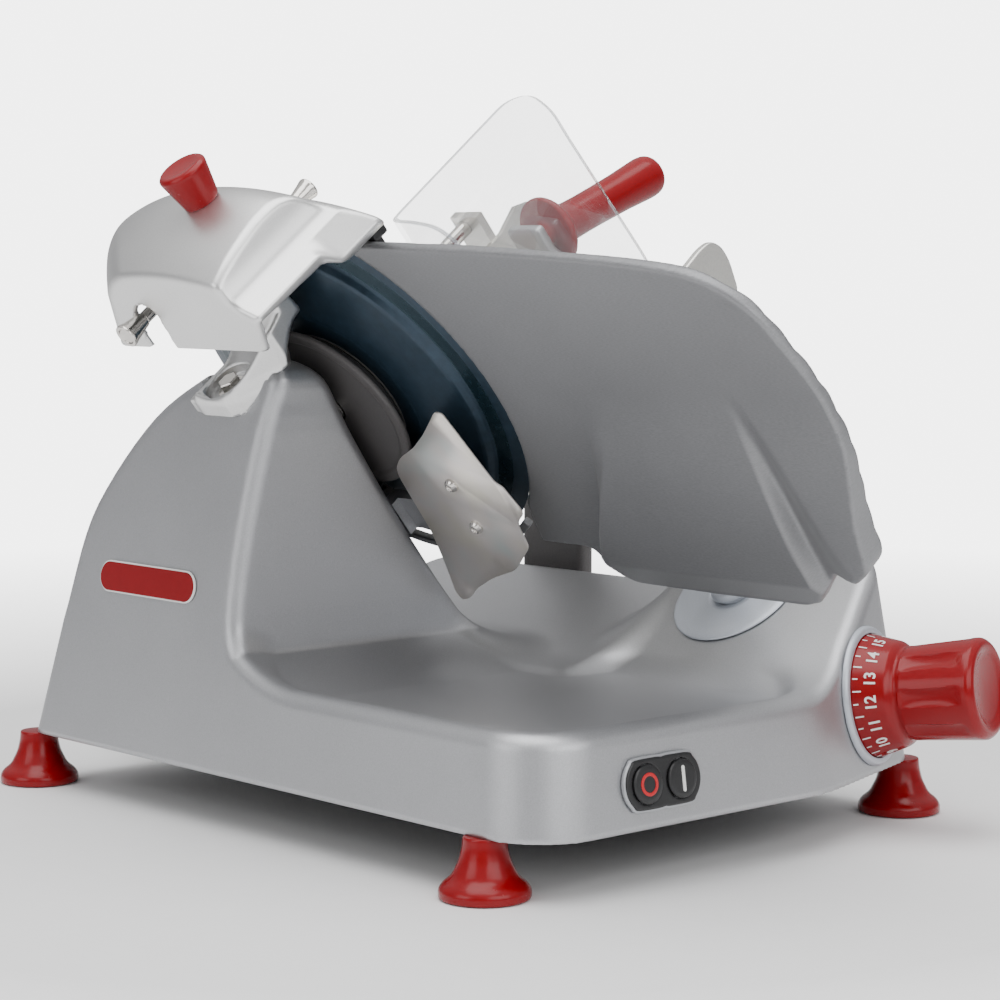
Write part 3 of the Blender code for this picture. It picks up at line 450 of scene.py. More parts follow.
DOME = [(-0.020, 0.066), (0.204, 0.066), (0.190, 0.115), (0.176, 0.158), (0.150, 0.196),
        (0.114, 0.231), (0.077, 0.252), (0.040, 0.266), (0.012, 0.267), (-0.006, 0.256),
        (0.002, 0.225), (0.010, 0.176), (0.013, 0.131), (0.010, 0.098)]
DOME_LINE = DOME[:2] + curved(DOME[1:], 4, closed=False)[1:]


def front_wall(x, z):
    straight = FRONT - 0 * x
    slanted = FRONT + FRONT_SLOPE * (x - KINK_X)
    bent = 0.5 * (straight + slanted + np.sqrt((slanted - straight) ** 2 + 0.004 ** 2))
    return bent + (z - FOOT_TOP) * DRAFT


def tower_field(x, y, z):
    """The block at the front right that carries the gauge post."""
    u = z * math.cos(TILT) - x * math.sin(TILT)
    top = BLADE @ Vector((0.098, 0.0, SLOPE_U))
    left = side_plane(x, z, (0.048, 0.070), (top.x, top.z))
    solid = meet(u - SLOPE_U, left, 0.007)
    return meet(solid, y + 0.060 + (z - 0.11) * 0.12, 0.012)


def side_plane(x, z, low, high):
    """Distance left of a line through two points of the x, z plane."""
    run = Vector((high[0] - low[0], high[1] - low[1])).normalized()
    return -((x - low[0]) * run.y - (z - low[1]) * run.x)


PAN_LINE = [(LEFT + 0.053, FRONT + 0.022), (-0.020, FRONT + 0.021), (0.040, FRONT + 0.0215), (0.080, -0.198),
            (0.080, 0.190), (-0.140, 0.190), (LEFT + 0.021, 0.0), (LEFT + 0.021, -0.190), (LEFT + 0.031, FRONT + 0.040)]


def seat_floor(y):
    """How high the bracket's seat is: flat at the back, ramped up under the web."""
    return SEAT_U + 0.0148 * np.clip((0.0205 - y) / 0.0245, 0, 1)


def base_solid(x, y, z):
    """The casting as a solid: what stands on the base, trimmed by its drafted walls."""
    rise = z - FOOT_TOP
    left = (LEFT - x + rise * DRAFT) * 0.99
    right = (x - RIGHT + rise * DRAFT) * 0.99
    back = (y - BACK + rise * DRAFT * 1.6) * 0.98
    front = (front_wall(x, z) - y) * 0.99
    around = meet(left, front, 0.040)
    around = meet(around, meet(right, back, 0.020), 0.018)
    pan = meet(outline_field(PAN_EDGE, x, y), PAN_Z - z, 0.010)
    solid = meet(z - RIM_Z, -pan, 0.006)
    deck = meet((z - 0.081 - (x - 0.022) * 0.31) * 0.95, 0.016 - x, 0.004)
    deck = meet(deck, -0.078 - y, 0.010)
    solid = blend(solid, deck, 0.010)
    solid = blend(solid, tower_field(x, y, z), 0.016)
    n = x * math.cos(TILT) + z * math.sin(TILT)
    housing = meet(outline_field(DOME_LINE, y, z), n - HOUSING_N, 0.008)
    solid = blend(solid, housing, 0.032)
    u = z * math.cos(TILT) - x * math.sin(TILT)
    seat = np.maximum(outline_field(SEAT_PLAN, n, y), seat_floor(y) - u)
    return np.maximum(meet(around, solid, 0.009), -seat)


SEAT_U = 0.2722
SEAT_PLAN = [(0.0000, 0.0665), (0.0000, 0.0280), (0.0365, 0.0280), (0.0402, 0.0202), (0.0638, -0.0060), (0.0665, 0.0100),
             (0.0940, 0.0200), (0.0940, 0.0665)]
PAN_EDGE = soften(PAN_LINE, 0.030, 5, closed=True)


def base_field(x, y, z):
    outer = base_solid(x, y, z)
    shell = np.maximum(outer, -(outer + 0.0090))
    shell = np.maximum(shell, FOOT_TOP - z)
    slot = box_field(x, y, z, (0.144, -0.162, 0.055), (0.200, 0.146, 0.078), 0.003)
    shell = np.maximum(shell, -slot)
    n = x * math.cos(TILT) + z * math.sin(TILT)
    u = z * math.cos(TILT) - x * math.sin(TILT)
    post = box_field(n, y, u, (0.135, POST.y - 0.0155, 0.0), (0.185, POST.y + 0.0155, 0.040), 0.002)
    return np.maximum(shell, -post)


def base():
    step = 0.0021
    data = cast(base_field, BASE_LOW, BASE_HIGH, step, "base_shell")
    piece("base_shell", data, WORLD, ["base_casting"], sharp=50)


def feet():
    for end in ("front", "back"):
        for side in ("left", "right"):
            node = f"foot_{end}_{side}"
            low, high = extent(node)
            wide = (high.x - low.x) / 2
            tall = high.z
            outline = [(0.0, 0.0), (wide - 0.0005, 0.0), (wide, 0.001), (wide, 0.0045), (wide - 0.002, 0.0075),
                       (wide - 0.0065, 0.0110), (0.0135, 0.019), (0.0118, 0.026), (0.0114, tall - 0.001),
                       (0.0110, tall), (0.0, tall)]
            spot = Matrix.Translation(((low.x + high.x) / 2, (low.y + high.y) / 2, 0.0))
            piece(f"{node}_v", lathe(soften(outline, 0.0025)), spot, [node])


def badge():
    """A blank red pill with a pale raised border."""
    spot = centre("badge_plate")
    out = Vector((-1.0, 0.0, DRAFT)).normalized()
    turn = Matrix((Vector((0, -1, 0)), out.cross(Vector((0, -1, 0))), out)).transposed().to_4x4()
    low, high = extent("badge_plate", Matrix.Translation(spot) @ turn)
    half = (high.x - low.x) / 2
    tall = (high.y - low.y) / 2
    place = Matrix.Translation(spot) @ turn

    def pill(shrink):
        r = tall - shrink
        run = half - tall
        return arc((run, 0.0), r, -90, 90, 16) + arc((-run, 0.0), r, 90, 270, 16)

    rim = piece("badge_rim", slab(pill(0.0), low.z, high.z - 0.0004, across_z), place, ["badge_plate"],
                look=WHITE)
    bevel(rim, 0.0004)
    face = piece("badge_face", slab(pill(0.0009), low.z, high.z, across_z), place, body="base",
                 look=FINISHES["red_plastic"])
    bevel(face, 0.0003)


# Blade group ---------------------------------------------------------------
def blade_parts():
    place = on_n(HUB.y, HUB.z)
    radius = 0.125
    outline = [(0.0305, 0.1003), (0.058, 0.1003), (0.060, 0.1008), (0.080, 0.1026), (0.0985, 0.1048),
               (0.1010, 0.1056), (0.1035, 0.1085), (0.1060, 0.1099), (0.1145, 0.1108), (0.1160, 0.1112),
               (radius, 0.1127), (radius + 0.0001, 0.1129), (0.106, 0.1120), (0.101, 0.1072),
               (0.062, 0.1025), (0.0305, 0.1025)]
    blade = lathe(soften(outline, 0.0006, 2), 160)
    made = piece("blade_v", blade, place, ["blade"], sharp=60)
    made.data.materials.append(finish("blade_edge", (0.014, 0.036, 0.050), 0.26, 0.6, 200.0, 0.03, 0.1))
    for face in made.data.polygons:
        middle = math.hypot(face.center.x, face.center.y)
        if 0.1055 < middle < 0.1152:
            face.material_index = 1
    low, high = extent("hub_shroud", place)
    wide = high.x
    outline = [(0.0110, low.z), (wide - 0.008, low.z), (wide - 0.006, low.z - 0.0012), (wide - 0.001, low.z - 0.0012),
               (wide, low.z), (wide, high.z), (0.0110, high.z)]
    piece("hub_shroud_v", lathe(soften(outline, 0.0008)), place, ["hub_shroud"])
    low, high = extent("blade_cover_plate", place)
    outline = [(0.0, low.z), (0.020, low.z), (0.092, 0.1095), (0.0958, 0.1108), (0.0945, 0.1118),
               (0.090, high.z), (0.030, high.z), (0.027, high.z - 0.0006), (0.0, high.z - 0.0006)]
    piece("blade_cover_v", lathe(soften(outline, 0.0012), 128), place, ["blade_cover_plate"])


def deflector():
    """A sheet with a bent lower lip and two dished screws."""
    outline = [(-0.080, 0.2360), (-0.088, 0.1846), (-0.0925, 0.1815), (-0.0972, 0.1617),
               (-0.0852, 0.1528), (-0.0822, 0.1336), (-0.0583, 0.1138), (-0.0348, 0.1065),
               (-0.0160, 0.0977), (-0.0083, 0.0912), (-0.0002, 0.0895), (0.0029, 0.0954),
               (-0.0029, 0.1816), (-0.0060, 0.1897), (-0.0153, 0.1979), (-0.0335, 0.2066),
               (-0.0508, 0.2180), (-0.0672, 0.2307), (-0.0740, 0.2365)]
    low, high = extent("deflector_plate", BLADE)
    mesh = bmesh.new()
    line = soften(outline, 0.005, 4, closed=True)
    mesh.faces.new([mesh.verts.new((low.x, y, u)) for y, u in line])
    for cut in np.linspace(0.100, 0.140, 9):
        bmesh.ops.bisect_plane(mesh, geom=mesh.verts[:] + mesh.edges[:] + mesh.faces[:],
                               plane_co=(0, 0, cut), plane_no=(0, -0.35, 1))
    bmesh.ops.triangulate(mesh, faces=mesh.faces)
    for vert in mesh.verts:
        below = max(0.0, 0.128 - (vert.co.z - 0.35 * (vert.co.y + 0.04)))
        vert.co.x -= 0.10 * below + 1.2 * below * below
    mesh.faces.ensure_lookup_table()
    bmesh.ops.recalc_face_normals(mesh, faces=mesh.faces)
    made = piece("deflector_v", mesh, BLADE, ["deflector_plate"], sharp=60)
    sheet = made.modifiers.new("sheet", "SOLIDIFY")
    sheet.thickness = high.x - low.x
    sheet.offset = 0.0
    for node in ("deflector_screw_upper", "deflector_screw_lower"):
        low, high = extent(node, BLADE)
        spot = on_n((low.y + high.y) / 2, (low.z + high.z) / 2)
        head = [(0.0, low.x + 0.0012), (0.0019, low.x + 0.0012), (0.0022, low.x + 0.0001), (0.0032, low.x + 0.0005),
                (0.0045, low.x + 0.0022), (0.0046, 0.0866), (0.0023, 0.0867), (0.0023, high.x), (0.0, high.x)]
        piece(f"{node}_v", lathe(soften(head, 0.0004), 48), spot, [node])


def guard_ring():
    """The ring round the idle part of the blade, held by two arms; ring and arms wear the darker gauge-plate finish as
    painted shade.
    """
    middle = (HUB.y, HUB.z)
    outline = arc(middle, 0.1340, -128, -6, 60) + arc(middle, 0.1287, -6, -128, 60)
    # Painted shade: the ring takes the darker gauge-plate finish to stand in for the shadow of the base and the hub on
    # it.
    ring = piece("blade_guard_v", slab(outline, 0.1085, 0.1135, across_n), BLADE, ["blade_guard_ring"],
                 look=FINISHES["gauge_aluminium"])
    bevel(ring, 0.0010)
    for name, angle in (("lower", -68), ("back", -14)):
        spot = BLADE @ Matrix.Translation((0.0, HUB.y, HUB.z)) @ Matrix.Rotation(math.radians(angle), 4, "X")
        outline = soften([(0.1305, -0.0075), (0.1405, -0.0075), (0.1405, 0.0075), (0.1305, 0.0075)], 0.0025, 3,
                         closed=True)
        # Painted shade: the arms take the same darker gauge-plate finish for the shadow they sit in.
        arm = piece(f"guard_arm_{name}", slab(outline, 0.0830, 0.1100, across_n), spot, body="base",
                    look=FINISHES["gauge_aluminium"])
        bevel(arm, 0.0006)


# Sharpener -----------------------------------------------------------------
COVER_RIM = extent("sharpener_cover", BLADE)[0].z
COVER_FOOT = Vector((0.009, -0.098, COVER_RIM))
COVER_TOP = Vector((0.134, 0.096, 0.409))
COVER_CROWN = curved([(0.0050, 0.3890), (0.0130, 0.3938), (0.0240, 0.3978), (0.0350, 0.4004), (0.0480, 0.4026),
                      (0.0600, 0.4038), (0.0720, 0.4034), (0.0800, 0.4012), (0.0865, 0.3968), (0.0930, 0.3888),
                      (0.1000, 0.3815), (0.1080, 0.3730), (0.1165, 0.3615), (0.1230, 0.3505), (0.1300, 0.3370)],
                     5, closed=False)
CROWN_N = [p[0] for p in COVER_CROWN]
CROWN_U = [p[1] for p in COVER_CROWN]
FLARE = curved([(-0.0735, 0.4200), (-0.0745, 0.4000), (-0.0758, 0.3900), (-0.0772, 0.3820), (-0.0795, 0.3755),
                (-0.0835, 0.3712), (-0.0890, 0.3680), (-0.0938, 0.3654)], 5, closed=False)
COVER_SIDE = FLARE + [(-0.0942, 0.3644), (-0.0936, 0.3620), (-0.0854, 0.3439), (-0.0800, 0.3250), (0.1400, 0.3250),
                      (0.1400, 0.4200)]
LIP_EDGE = ((0.013, 0.3618), (0.045, 0.3600), (0.066, 0.3590), (0.070, 0.3570), (0.077, 0.3515), (0.083, 0.3490),
            (0.120, 0.3480))


def cover_solid(n, y, u):
    """A crowned dome whose operator side flares out into a lip."""
    crown = np.interp(n, CROWN_N, CROWN_U)
    slope = (np.interp(n + 0.001, CROWN_N, CROWN_U) - np.interp(n - 0.001, CROWN_N, CROWN_U)) / 0.002
    across = 2.2 * (y + 0.015)
    top = (u - crown + across * (y + 0.015)) / np.sqrt(1 + slope ** 2 + 4 * across ** 2)
    near = 0.0130 - n
    corner = (y - 0.0495 - 1.2 * (n - 0.013) + 0.57 * (u - COVER_RIM)) * 0.60
    back = (y - 0.090 + 0.25 * (u - COVER_RIM)) * 0.97
    dome = meet(top, meet(corner, back, 0.020), 0.012)
    tip = 0.0115 * smooth((n - 0.064) / 0.016) * np.clip((-0.0845 - y) / 0.0097, 0, 1)
    dome = meet(dome, outline_field(COVER_SIDE, y, u + tip) * 0.8, 0.0030)
    return meet(dome, near, 0.0035)


def cover_field(n, y, u):
    outer = cover_solid(n, y, u)
    shell = np.maximum(outer, -(outer + 0.0032))
    shell = np.maximum(shell, COVER_RIM - u)
    edge = np.interp(n, [p[0] for p in LIP_EDGE], [p[1] for p in LIP_EDGE])
    opening = np.maximum(np.maximum(u - edge, y + 0.0550), 0.0163 - n)
    notch = meet(np.maximum(n - 0.034, -n), outline_field([
        (0.0200, 0.320), (0.0198, 0.350), (0.0182, 0.3600), (0.0135, 0.3680), (0.0070, 0.3730), (0.0010, 0.3739),
        (-0.0045, 0.3705), (-0.0067, 0.3660), (-0.0058, 0.3600), (-0.0048, 0.3500), (-0.0041, 0.320)], y, u), 0.001)
    pin = box_field(n, y, u, (0.100, -0.012, 0.320), (0.150, 0.002, 0.3615), 0.003)
    hole = np.maximum(np.sqrt((n - 0.066) ** 2 + (y + 0.024) ** 2) - 0.005, 0.375 - u)
    gaps = np.minimum(np.minimum(notch, pin), np.minimum(hole, opening))
    return np.maximum(shell, -gaps)


BOLT = Vector((0.0525, 0.0412, 0.0))
FOOT_PLAN = [(0.0370, 0.0660), (0.0370, 0.0285), (0.0405, 0.0205), (0.0625, -0.0040), (0.0660, -0.0060),
             (0.0935, -0.0060), (0.0935, 0.0660)]
ARM_SIDE = [(0.0000, 0.2500), (0.0620, 0.2500), (0.0632, 0.2857), (0.0663, 0.2905), (0.0700, 0.2955),
            (0.0772, 0.3015), (0.0841, 0.3052), (0.0905, 0.3062), (0.0912, 0.3085), (0.0897, 0.3170), (0.0885, 0.3450),
            (0.0885, 0.4000), (0.0000, 0.4000)]


def bracket_field(n, y, u):
    """A foot round a bolt pocket, and a web that sweeps up from it under the cover."""
    plan = outline_field(FOOT_PLAN, n, y)
    shift = 0.5 * (y + 0.006)
    side = outline_field(ARM_SIDE, n - shift, u + shift) * 0.8
    foot = meet(meet(plan, side, 0.0015), np.maximum(u - 0.2820, n - 0.0790), 0.0018)
    cone = np.sqrt((n - BOLT.x) ** 2 + (y - BOLT.y) ** 2) - 0.0150
    wide = np.maximum((cone - 1.15 * np.maximum(u - 0.2830, 0)) * 0.66, n - 0.0770)
    arm = meet(meet(plan, side, 0.0015), np.maximum(u - 0.3780, y - 0.056), 0.002)
    arm = meet(arm, -wide, 0.003)
    solid = blend(foot, arm, 0.008)
    well = np.maximum(cone, 0.2785 - u)
    solid = meet(solid, -np.maximum(well, u - 0.2950), 0.0012)
    shelf = box_field(n, y, u, (0.058, -0.031, 0.366), (0.074, 0.020, 0.378), 0.002)
    stud = np.maximum(np.sqrt((n - 0.066) ** 2 + (y + 0.024) ** 2) - 0.0042, np.maximum(u - 0.412, 0.365 - u))
    solid = np.minimum(np.minimum(solid, shelf), stud)
    pin_hole = np.sqrt((y - 0.015) ** 2 + (u - 0.361) ** 2) - 0.0043
    return np.maximum(np.maximum(solid, -pin_hole), (seat_floor(y) - u) * 0.85)


def hexagon(radius, start, end, chamfer):
    mesh = bmesh.new()
    rows = []
    for r, z in ((radius, start), (radius, end - chamfer), (radius - chamfer, end)):
        rows.append([mesh.verts.new((r * math.cos(i * math.pi / 3), r * math.sin(i * math.pi / 3), z))
                     for i in range(6)])
    mesh.faces.new(rows[0])
    mesh.faces.new(rows[-1])
    for low, high in zip(rows, rows[1:]):
        for i in range(6):
            mesh.faces.new((low[i], low[(i + 1) % 6], high[(i + 1) % 6], high[i]))
    bmesh.ops.recalc_face_normals(mesh, faces=mesh.faces)
    return mesh


def sharpener():
    step = 0.0012
    data = cast(cover_field, COVER_FOOT, COVER_TOP, step, "cover_shell")
    piece("cover_shell", data, BLADE, ["sharpener_cover"], sharp=60)
    low, high = Vector((0.0365, -0.034, SEAT_U)), Vector((0.0940, 0.066, 0.412))
    data = cast(bracket_field, low, high, step, "bracket_v")
    piece("bracket_v", data, BLADE, ["sharpener_bracket"], sharp=60)
    bolt = piece("bracket_bolt", hexagon(0.0070, 0.0, 0.0060, 0.0008),
                 BLADE @ Matrix.Translation((BOLT.x, BOLT.y, 0.2797)), body="base", look=FINISHES["polished_steel"])
    bevel(bolt, 0.0004)
    washer = lathe(soften([(0.0, 0.0), (0.0095, 0.0), (0.0095, 0.0012), (0.0, 0.0012)], 0.0004), 48)
    piece("bracket_washer", washer, BLADE @ Matrix.Translation((BOLT.x, BOLT.y, 0.2785)), body="base",
          look=FINISHES["polished_steel"])
    low, high = extent("sharpener_knob", BLADE)
    spot = BLADE @ Matrix.Translation(((low.x + high.x) / 2, (low.y + high.y) / 2, 0.0))
    bottom, top = low.z - 0.0015, high.z - 0.0030
    outline = [(0.0, bottom + 0.012), (0.0045, bottom + 0.012), (0.0045, bottom), (0.0098, bottom),
               (0.0104, bottom + 0.0010), (0.0140, top - 0.0035), (0.0141, top - 0.0018), (0.0125, top - 0.0002),
               (0.0110, top), (0.0060, top - 0.0006), (0.0, top - 0.0008)]
    piece("sharpener_knob_v", lathe(soften(outline, 0.0012), 64), spot, ["sharpener_knob"])
    low, high = extent("grinding_stone", BLADE)
    spot = on_n((low.y + high.y) / 2, (low.z + high.z) / 2)
    stone = [(0.0, low.x), (0.0088, low.x), (0.0088, low.x + 0.0010), (0.0050, high.x), (0.0, high.x)]
    piece("grinding_stone_v", lathe(soften(stone, 0.0005), 64), spot, ["grinding_stone"])
    pins()
    yoke()


def yoke():
    """The black stone holder seen under the far end of the lip."""
    parts = []
    for low, high in (((0.1000, -0.0600, 0.3390), (0.1240, -0.0300, 0.3480)),
                      ((0.1130, -0.0760, 0.3360), (0.1240, -0.0560, 0.3430)),
                      ((0.1160, -0.0740, 0.3280), (0.1200, -0.0680, 0.3380))):
        parts.append((low, high))
    low, high = np.min([p[0] for p in parts], 0), np.max([p[1] for p in parts], 0)

    def field(n, y, u):
        solid = 1e9
        for a, b in parts:
            solid = np.minimum(solid, box_field(n, y, u, a, b, 0.0012))
        return solid

    data = cast(field, low, high, 0.0010, "stone_yoke_v")
    piece("stone_yoke_v", data, BLADE, ["stone_yoke"], sharp=50)


def pins():
    for node, way in (("grinding_pin", -1), ("deburring_pin", 1)):
        low, high = extent(node, BLADE)
        tip = low.x + 0.004 if way < 0 else high.x
        stem = high.x if way < 0 else low.x
        outline = [(0.0, tip - way * 0.0012), (0.0045, tip - way * 0.0010), (0.0052, tip), (0.0070, tip),
                   (0.0072, tip - way * 0.0012), (0.0062, tip - way * 0.0050), (0.0050, tip - way * 0.0110),
                   (0.0044, tip - way * 0.0150), (0.0036, tip - way * 0.0160), (0.0036, stem), (0.0, stem)]
        if way > 0:
            outline = [(r, max(h, stem)) for r, h in outline]
            outline = [(r * 0.9, h) for r, h in outline]
        lift = 0.003 if way > 0 else 0.0
        spot = on_n((low.y + high.y) / 2, (low.z + high.z) / 2 + lift)
        piece(f"{node}_v", lathe(soften(outline, 0.0005), 48), spot, [node])


# Gauge plate ---------------------------------------------------------------
GAUGE_LOW, GAUGE_HIGH = extent("gauge_plate", BLADE)
GAUGE_FACE = GAUGE_HIGH.x
GAUGE_FOOT = [(-0.0660, 0.1180), (-0.1020, 0.1165), (-0.1070, 0.1130), (-0.1100, 0.1040), (-0.1240, 0.1015),
              (-0.1270, 0.0915), (-0.1900, 0.0900), (-0.2570, 0.0900), (-0.2700, 0.0950), (-0.2930, 0.1190)]
GAUGE_EDGE = [(-0.3150, 0.1225), (-0.3270, 0.1320), (-0.3310, 0.1460), (-0.3345, 0.1630), (-0.3419, 0.1870),
              (-0.3480, 0.2100), (-0.3493, 0.2330), (-0.3475, 0.2530), (-0.3407, 0.2780), (-0.3353, 0.2935),
              (-0.3264, 0.3050), (-0.3130, 0.3150), (-0.2930, 0.3216), (-0.2500, 0.3275), (-0.1906, 0.3322),
              (-0.1200, 0.3362)]
GAUGE_LINE = (arc((HUB.y, HUB.z), 0.128, 124, 222, 24) + soften(GAUGE_FOOT, 0.004, 3)
              + curved(GAUGE_EDGE, 4, closed=False))


def smooth(t):
    t = np.clip(t, 0, 1)
    return t * t * (3 - 2 * t)


def gauge_field(n, y, u):
    inside = outline_field(GAUGE_LINE, y, u)
    down = np.clip((0.240 - u) / 0.120, 0, 1)
    past = -0.1752 + 0.0545 * np.clip((0.233 - u) / 0.113, 0, 1) - y
    swell = 0.0100 * smooth(down * 1.1) * smooth(past / (0.0045 + 0.024 * (1 - down) ** 1.5))
    valley = 0.0025 * smooth(down * 1.2) * np.exp(-np.abs(past) / 0.018) * smooth(1 - past / 0.003)
    beyond = -0.286 - y
    fall = np.where(beyond < 0, smooth(1 + beyond / 0.0060), 1 - smooth(beyond / (0.006 + 0.026 * down)))
    dart = 0.0095 * smooth((0.245 - u) / 0.100) * fall
    swell = np.maximum(swell - dart, -0.001) * np.clip((u - 0.0925) / 0.023, 0, 1)
    back = GAUGE_LOW.x - swell + valley
    ribs = 0.0017 * np.abs(np.sin(math.pi * (u - 0.090) / 0.0200)) * smooth((-inside) / 0.004 + 0.4)
    ribs = ribs * smooth((-0.118 - y) / 0.02)
    solid = meet(np.maximum(back - n, n - GAUGE_FACE - ribs), inside, 0.0014)
    return solid * 0.8


def gauge():
    step = 0.0017
    data = cast(gauge_field, GAUGE_LOW - Vector((0.010, 0, 0)), GAUGE_HIGH + Vector((0.002, 0, 0)), step, "gauge_plate_v")
    piece("gauge_plate_v", data, BLADE, ["gauge_plate"], sharp=60)
    place = BLADE @ Matrix.Translation((POST.x, POST.y, 0.0))
    low, high = extent("post_disc", place)
    wide = high.x
    outline = [(0.0124, low.z), (wide - 0.0008, low.z), (wide, low.z + 0.0006), (wide - 0.0006, low.z + 0.0013),
               (0.0380, high.z - 0.0006), (0.0330, high.z), (0.0170, high.z), (0.0150, high.z - 0.0010), (0.0124, high.z - 0.0010)]
    piece("post_disc_v", lathe(soften(outline, 0.0012), 96), place, ["post_disc"])
    low, high = extent("gauge_post", place)
    outline = [(0.0, low.z), (0.0118, low.z), (0.0118, 0.0300), (0.0108, 0.0302), (0.0108, 0.0312),
               (0.0138, 0.0314), (0.0140, 0.0330), (0.0132, high.z - 0.0012), (0.0118, high.z), (0.0, high.z)]
    piece("gauge_post_v", lathe(soften(outline, 0.0008), 64), place, ["gauge_post"])
    low, high = extent("gauge_bracket", BLADE)

    def elbow(n, y, u):
        round_post = np.sqrt((n - POST.x) ** 2 + (y - POST.y) ** 2) - 0.0100
        column = meet(round_post, np.maximum(low.z - u, u - 0.100), 0.001)
        bar = box_field(n, y, u, (low.x, POST.y - 0.0140, 0.0865), (POST.x + 0.008, POST.y + 0.0080, 0.099), 0.002)
        wall = box_field(n, y, u, (low.x, POST.y - 0.0260, 0.0850), (low.x + 0.010, POST.y + 0.0020, high.z), 0.002)
        return blend(blend(column, bar, 0.004), wall, 0.004)

    data = cast(elbow, low, high + Vector((0, 0.030, 0)), 0.0013, "gauge_bracket_v")
    piece("gauge_bracket_v", data, BLADE, ["gauge_bracket"], sharp=50)


# Knob ----------------------------------------------------------------------
KNOB_AXIS = Vector((0.0, -1.0, 0.0))
KNOB_AXIS.rotate(Euler((-math.radians(8), 0.0, 0.0)))
KNOB_AXIS.rotate(Euler((0.0, 0.0, math.radians(18))))
NUMBER_PITCH = 24.0


def on_cone(text, size, angle, place):
    """A number wrapped on the dial, its line running round it and its head towards the ring."""
    curve = bpy.data.curves.new(f"number_{text}", "FONT")
    curve.body = text
    curve.size = size
    curve.align_x = "CENTER"
    curve.align_y = "CENTER"
    curve.offset = size * 0.018
    curve.extrude = 0.00012
    flat = bpy.data.objects.new("flat", curve)
    bpy.context.scene.collection.objects.link(flat)
    bpy.context.view_layer.update()
    data = bpy.data.meshes.new_from_object(flat.evaluated_get(bpy.context.evaluated_depsgraph_get()))
    bpy.data.objects.remove(flat)
    for vert in data.vertices:
        vert.co = cone_point(-vert.co.y - 0.0007, angle, vert.co.x, vert.co.z)
    piece(f"number_{text}", data, place, body="thickness_knob", look=WHITE)


def cone_point(out, angle, side, lift):
    """A point on the dial cone: out along it, side round it, lift off it."""
    t = 0.62 + out / 0.0177
    radius = 0.0350 - 0.0050 * t + lift + 0.0002
    height = 0.0040 + 0.0170 * t
    turn = math.radians(angle) - side / radius
    return (radius * math.cos(turn), radius * math.sin(turn), height)


def knob():
    place = along(Vector(JOINTS["thickness_turn"]["pos_m"]), KNOB_AXIS)
    low, high = extent("thickness_knob", place)
    place = place @ Matrix.Translation((0, 0, low.z - 0.0010))
    top = high.z - low.z + 0.0010

    def flutes(angle, height):
        t = (height - 0.028) / (top - 0.008 - 0.028)
        if not 0.0 < t < 1.0:
            return 1.0
        valley = max(0.0, math.cos(8 * angle)) ** 0.7
        return 1.0 - 0.075 * valley * math.sin(math.pi * t) ** 0.45

    outline = [(0.0, 0.0010), (0.0350, 0.0010), (0.0350, 0.0040), (0.0300, 0.0210), (0.0285, 0.0228),
               (0.0262, 0.0245), (0.0262, 0.0265)]
    grip = [(0.0268 + 0.0018 * k / 24, 0.0275 + (top - 0.0075 - 0.0275) * k / 24) for k in range(25)]
    outline = soften(outline, 0.0012) + grip
    outline += soften([(0.0287, top - 0.0062), (0.0287, top - 0.0030), (0.0262, top), (0.0225, top),
                       (0.0190, top - 0.0018), (0.0, top - 0.0036)], 0.0020)
    piece("thickness_knob_v", lathe(outline, 192, flutes), place, ["thickness_knob"], sharp=35)
    for k in range(16):
        angle = 181.0 - (k - 12) * NUMBER_PITCH
        if k > 0:
            on_cone(str(k), 0.0088, angle, place)
    marks = bmesh.new()
    for k in range(30):
        angle = 181.0 - (k / 2 - 12) * NUMBER_PITCH
        long = 0.0028 if k % 2 == 0 else 0.0048
        corners = []
        for out, side, lift in ((-0.0106, -0.0004, 0.0001), (-0.0106 + long, -0.0004, 0.0001),
                                (-0.0106 + long, 0.0004, 0.0001), (-0.0106, 0.0004, 0.0001)):
            corners.append(marks.verts.new(cone_point(out, angle, side, lift)))
        marks.faces.new(corners)
    solid = bmesh.ops.extrude_face_region(marks, geom=marks.faces[:])
    for vert in (v for v in solid["geom"] if isinstance(v, bmesh.types.BMVert)):
        vert.co *= 0.997
    bmesh.ops.recalc_face_normals(marks, faces=marks.faces)
    piece("dial_marks", marks, place, body="thickness_knob", look=WHITE)
    low, high = extent("dial_ring", place)
    outline = [(0.0356, low.z), (0.0400, low.z), (0.0400, low.z + 0.0012), (0.0392, low.z + 0.0026),
               (0.0382, high.z), (0.0358, high.z), (0.0356, high.z - 0.0003)]
    piece("dial_ring_v", lathe(soften(outline, 0.0005), 96), place, ["dial_ring"])


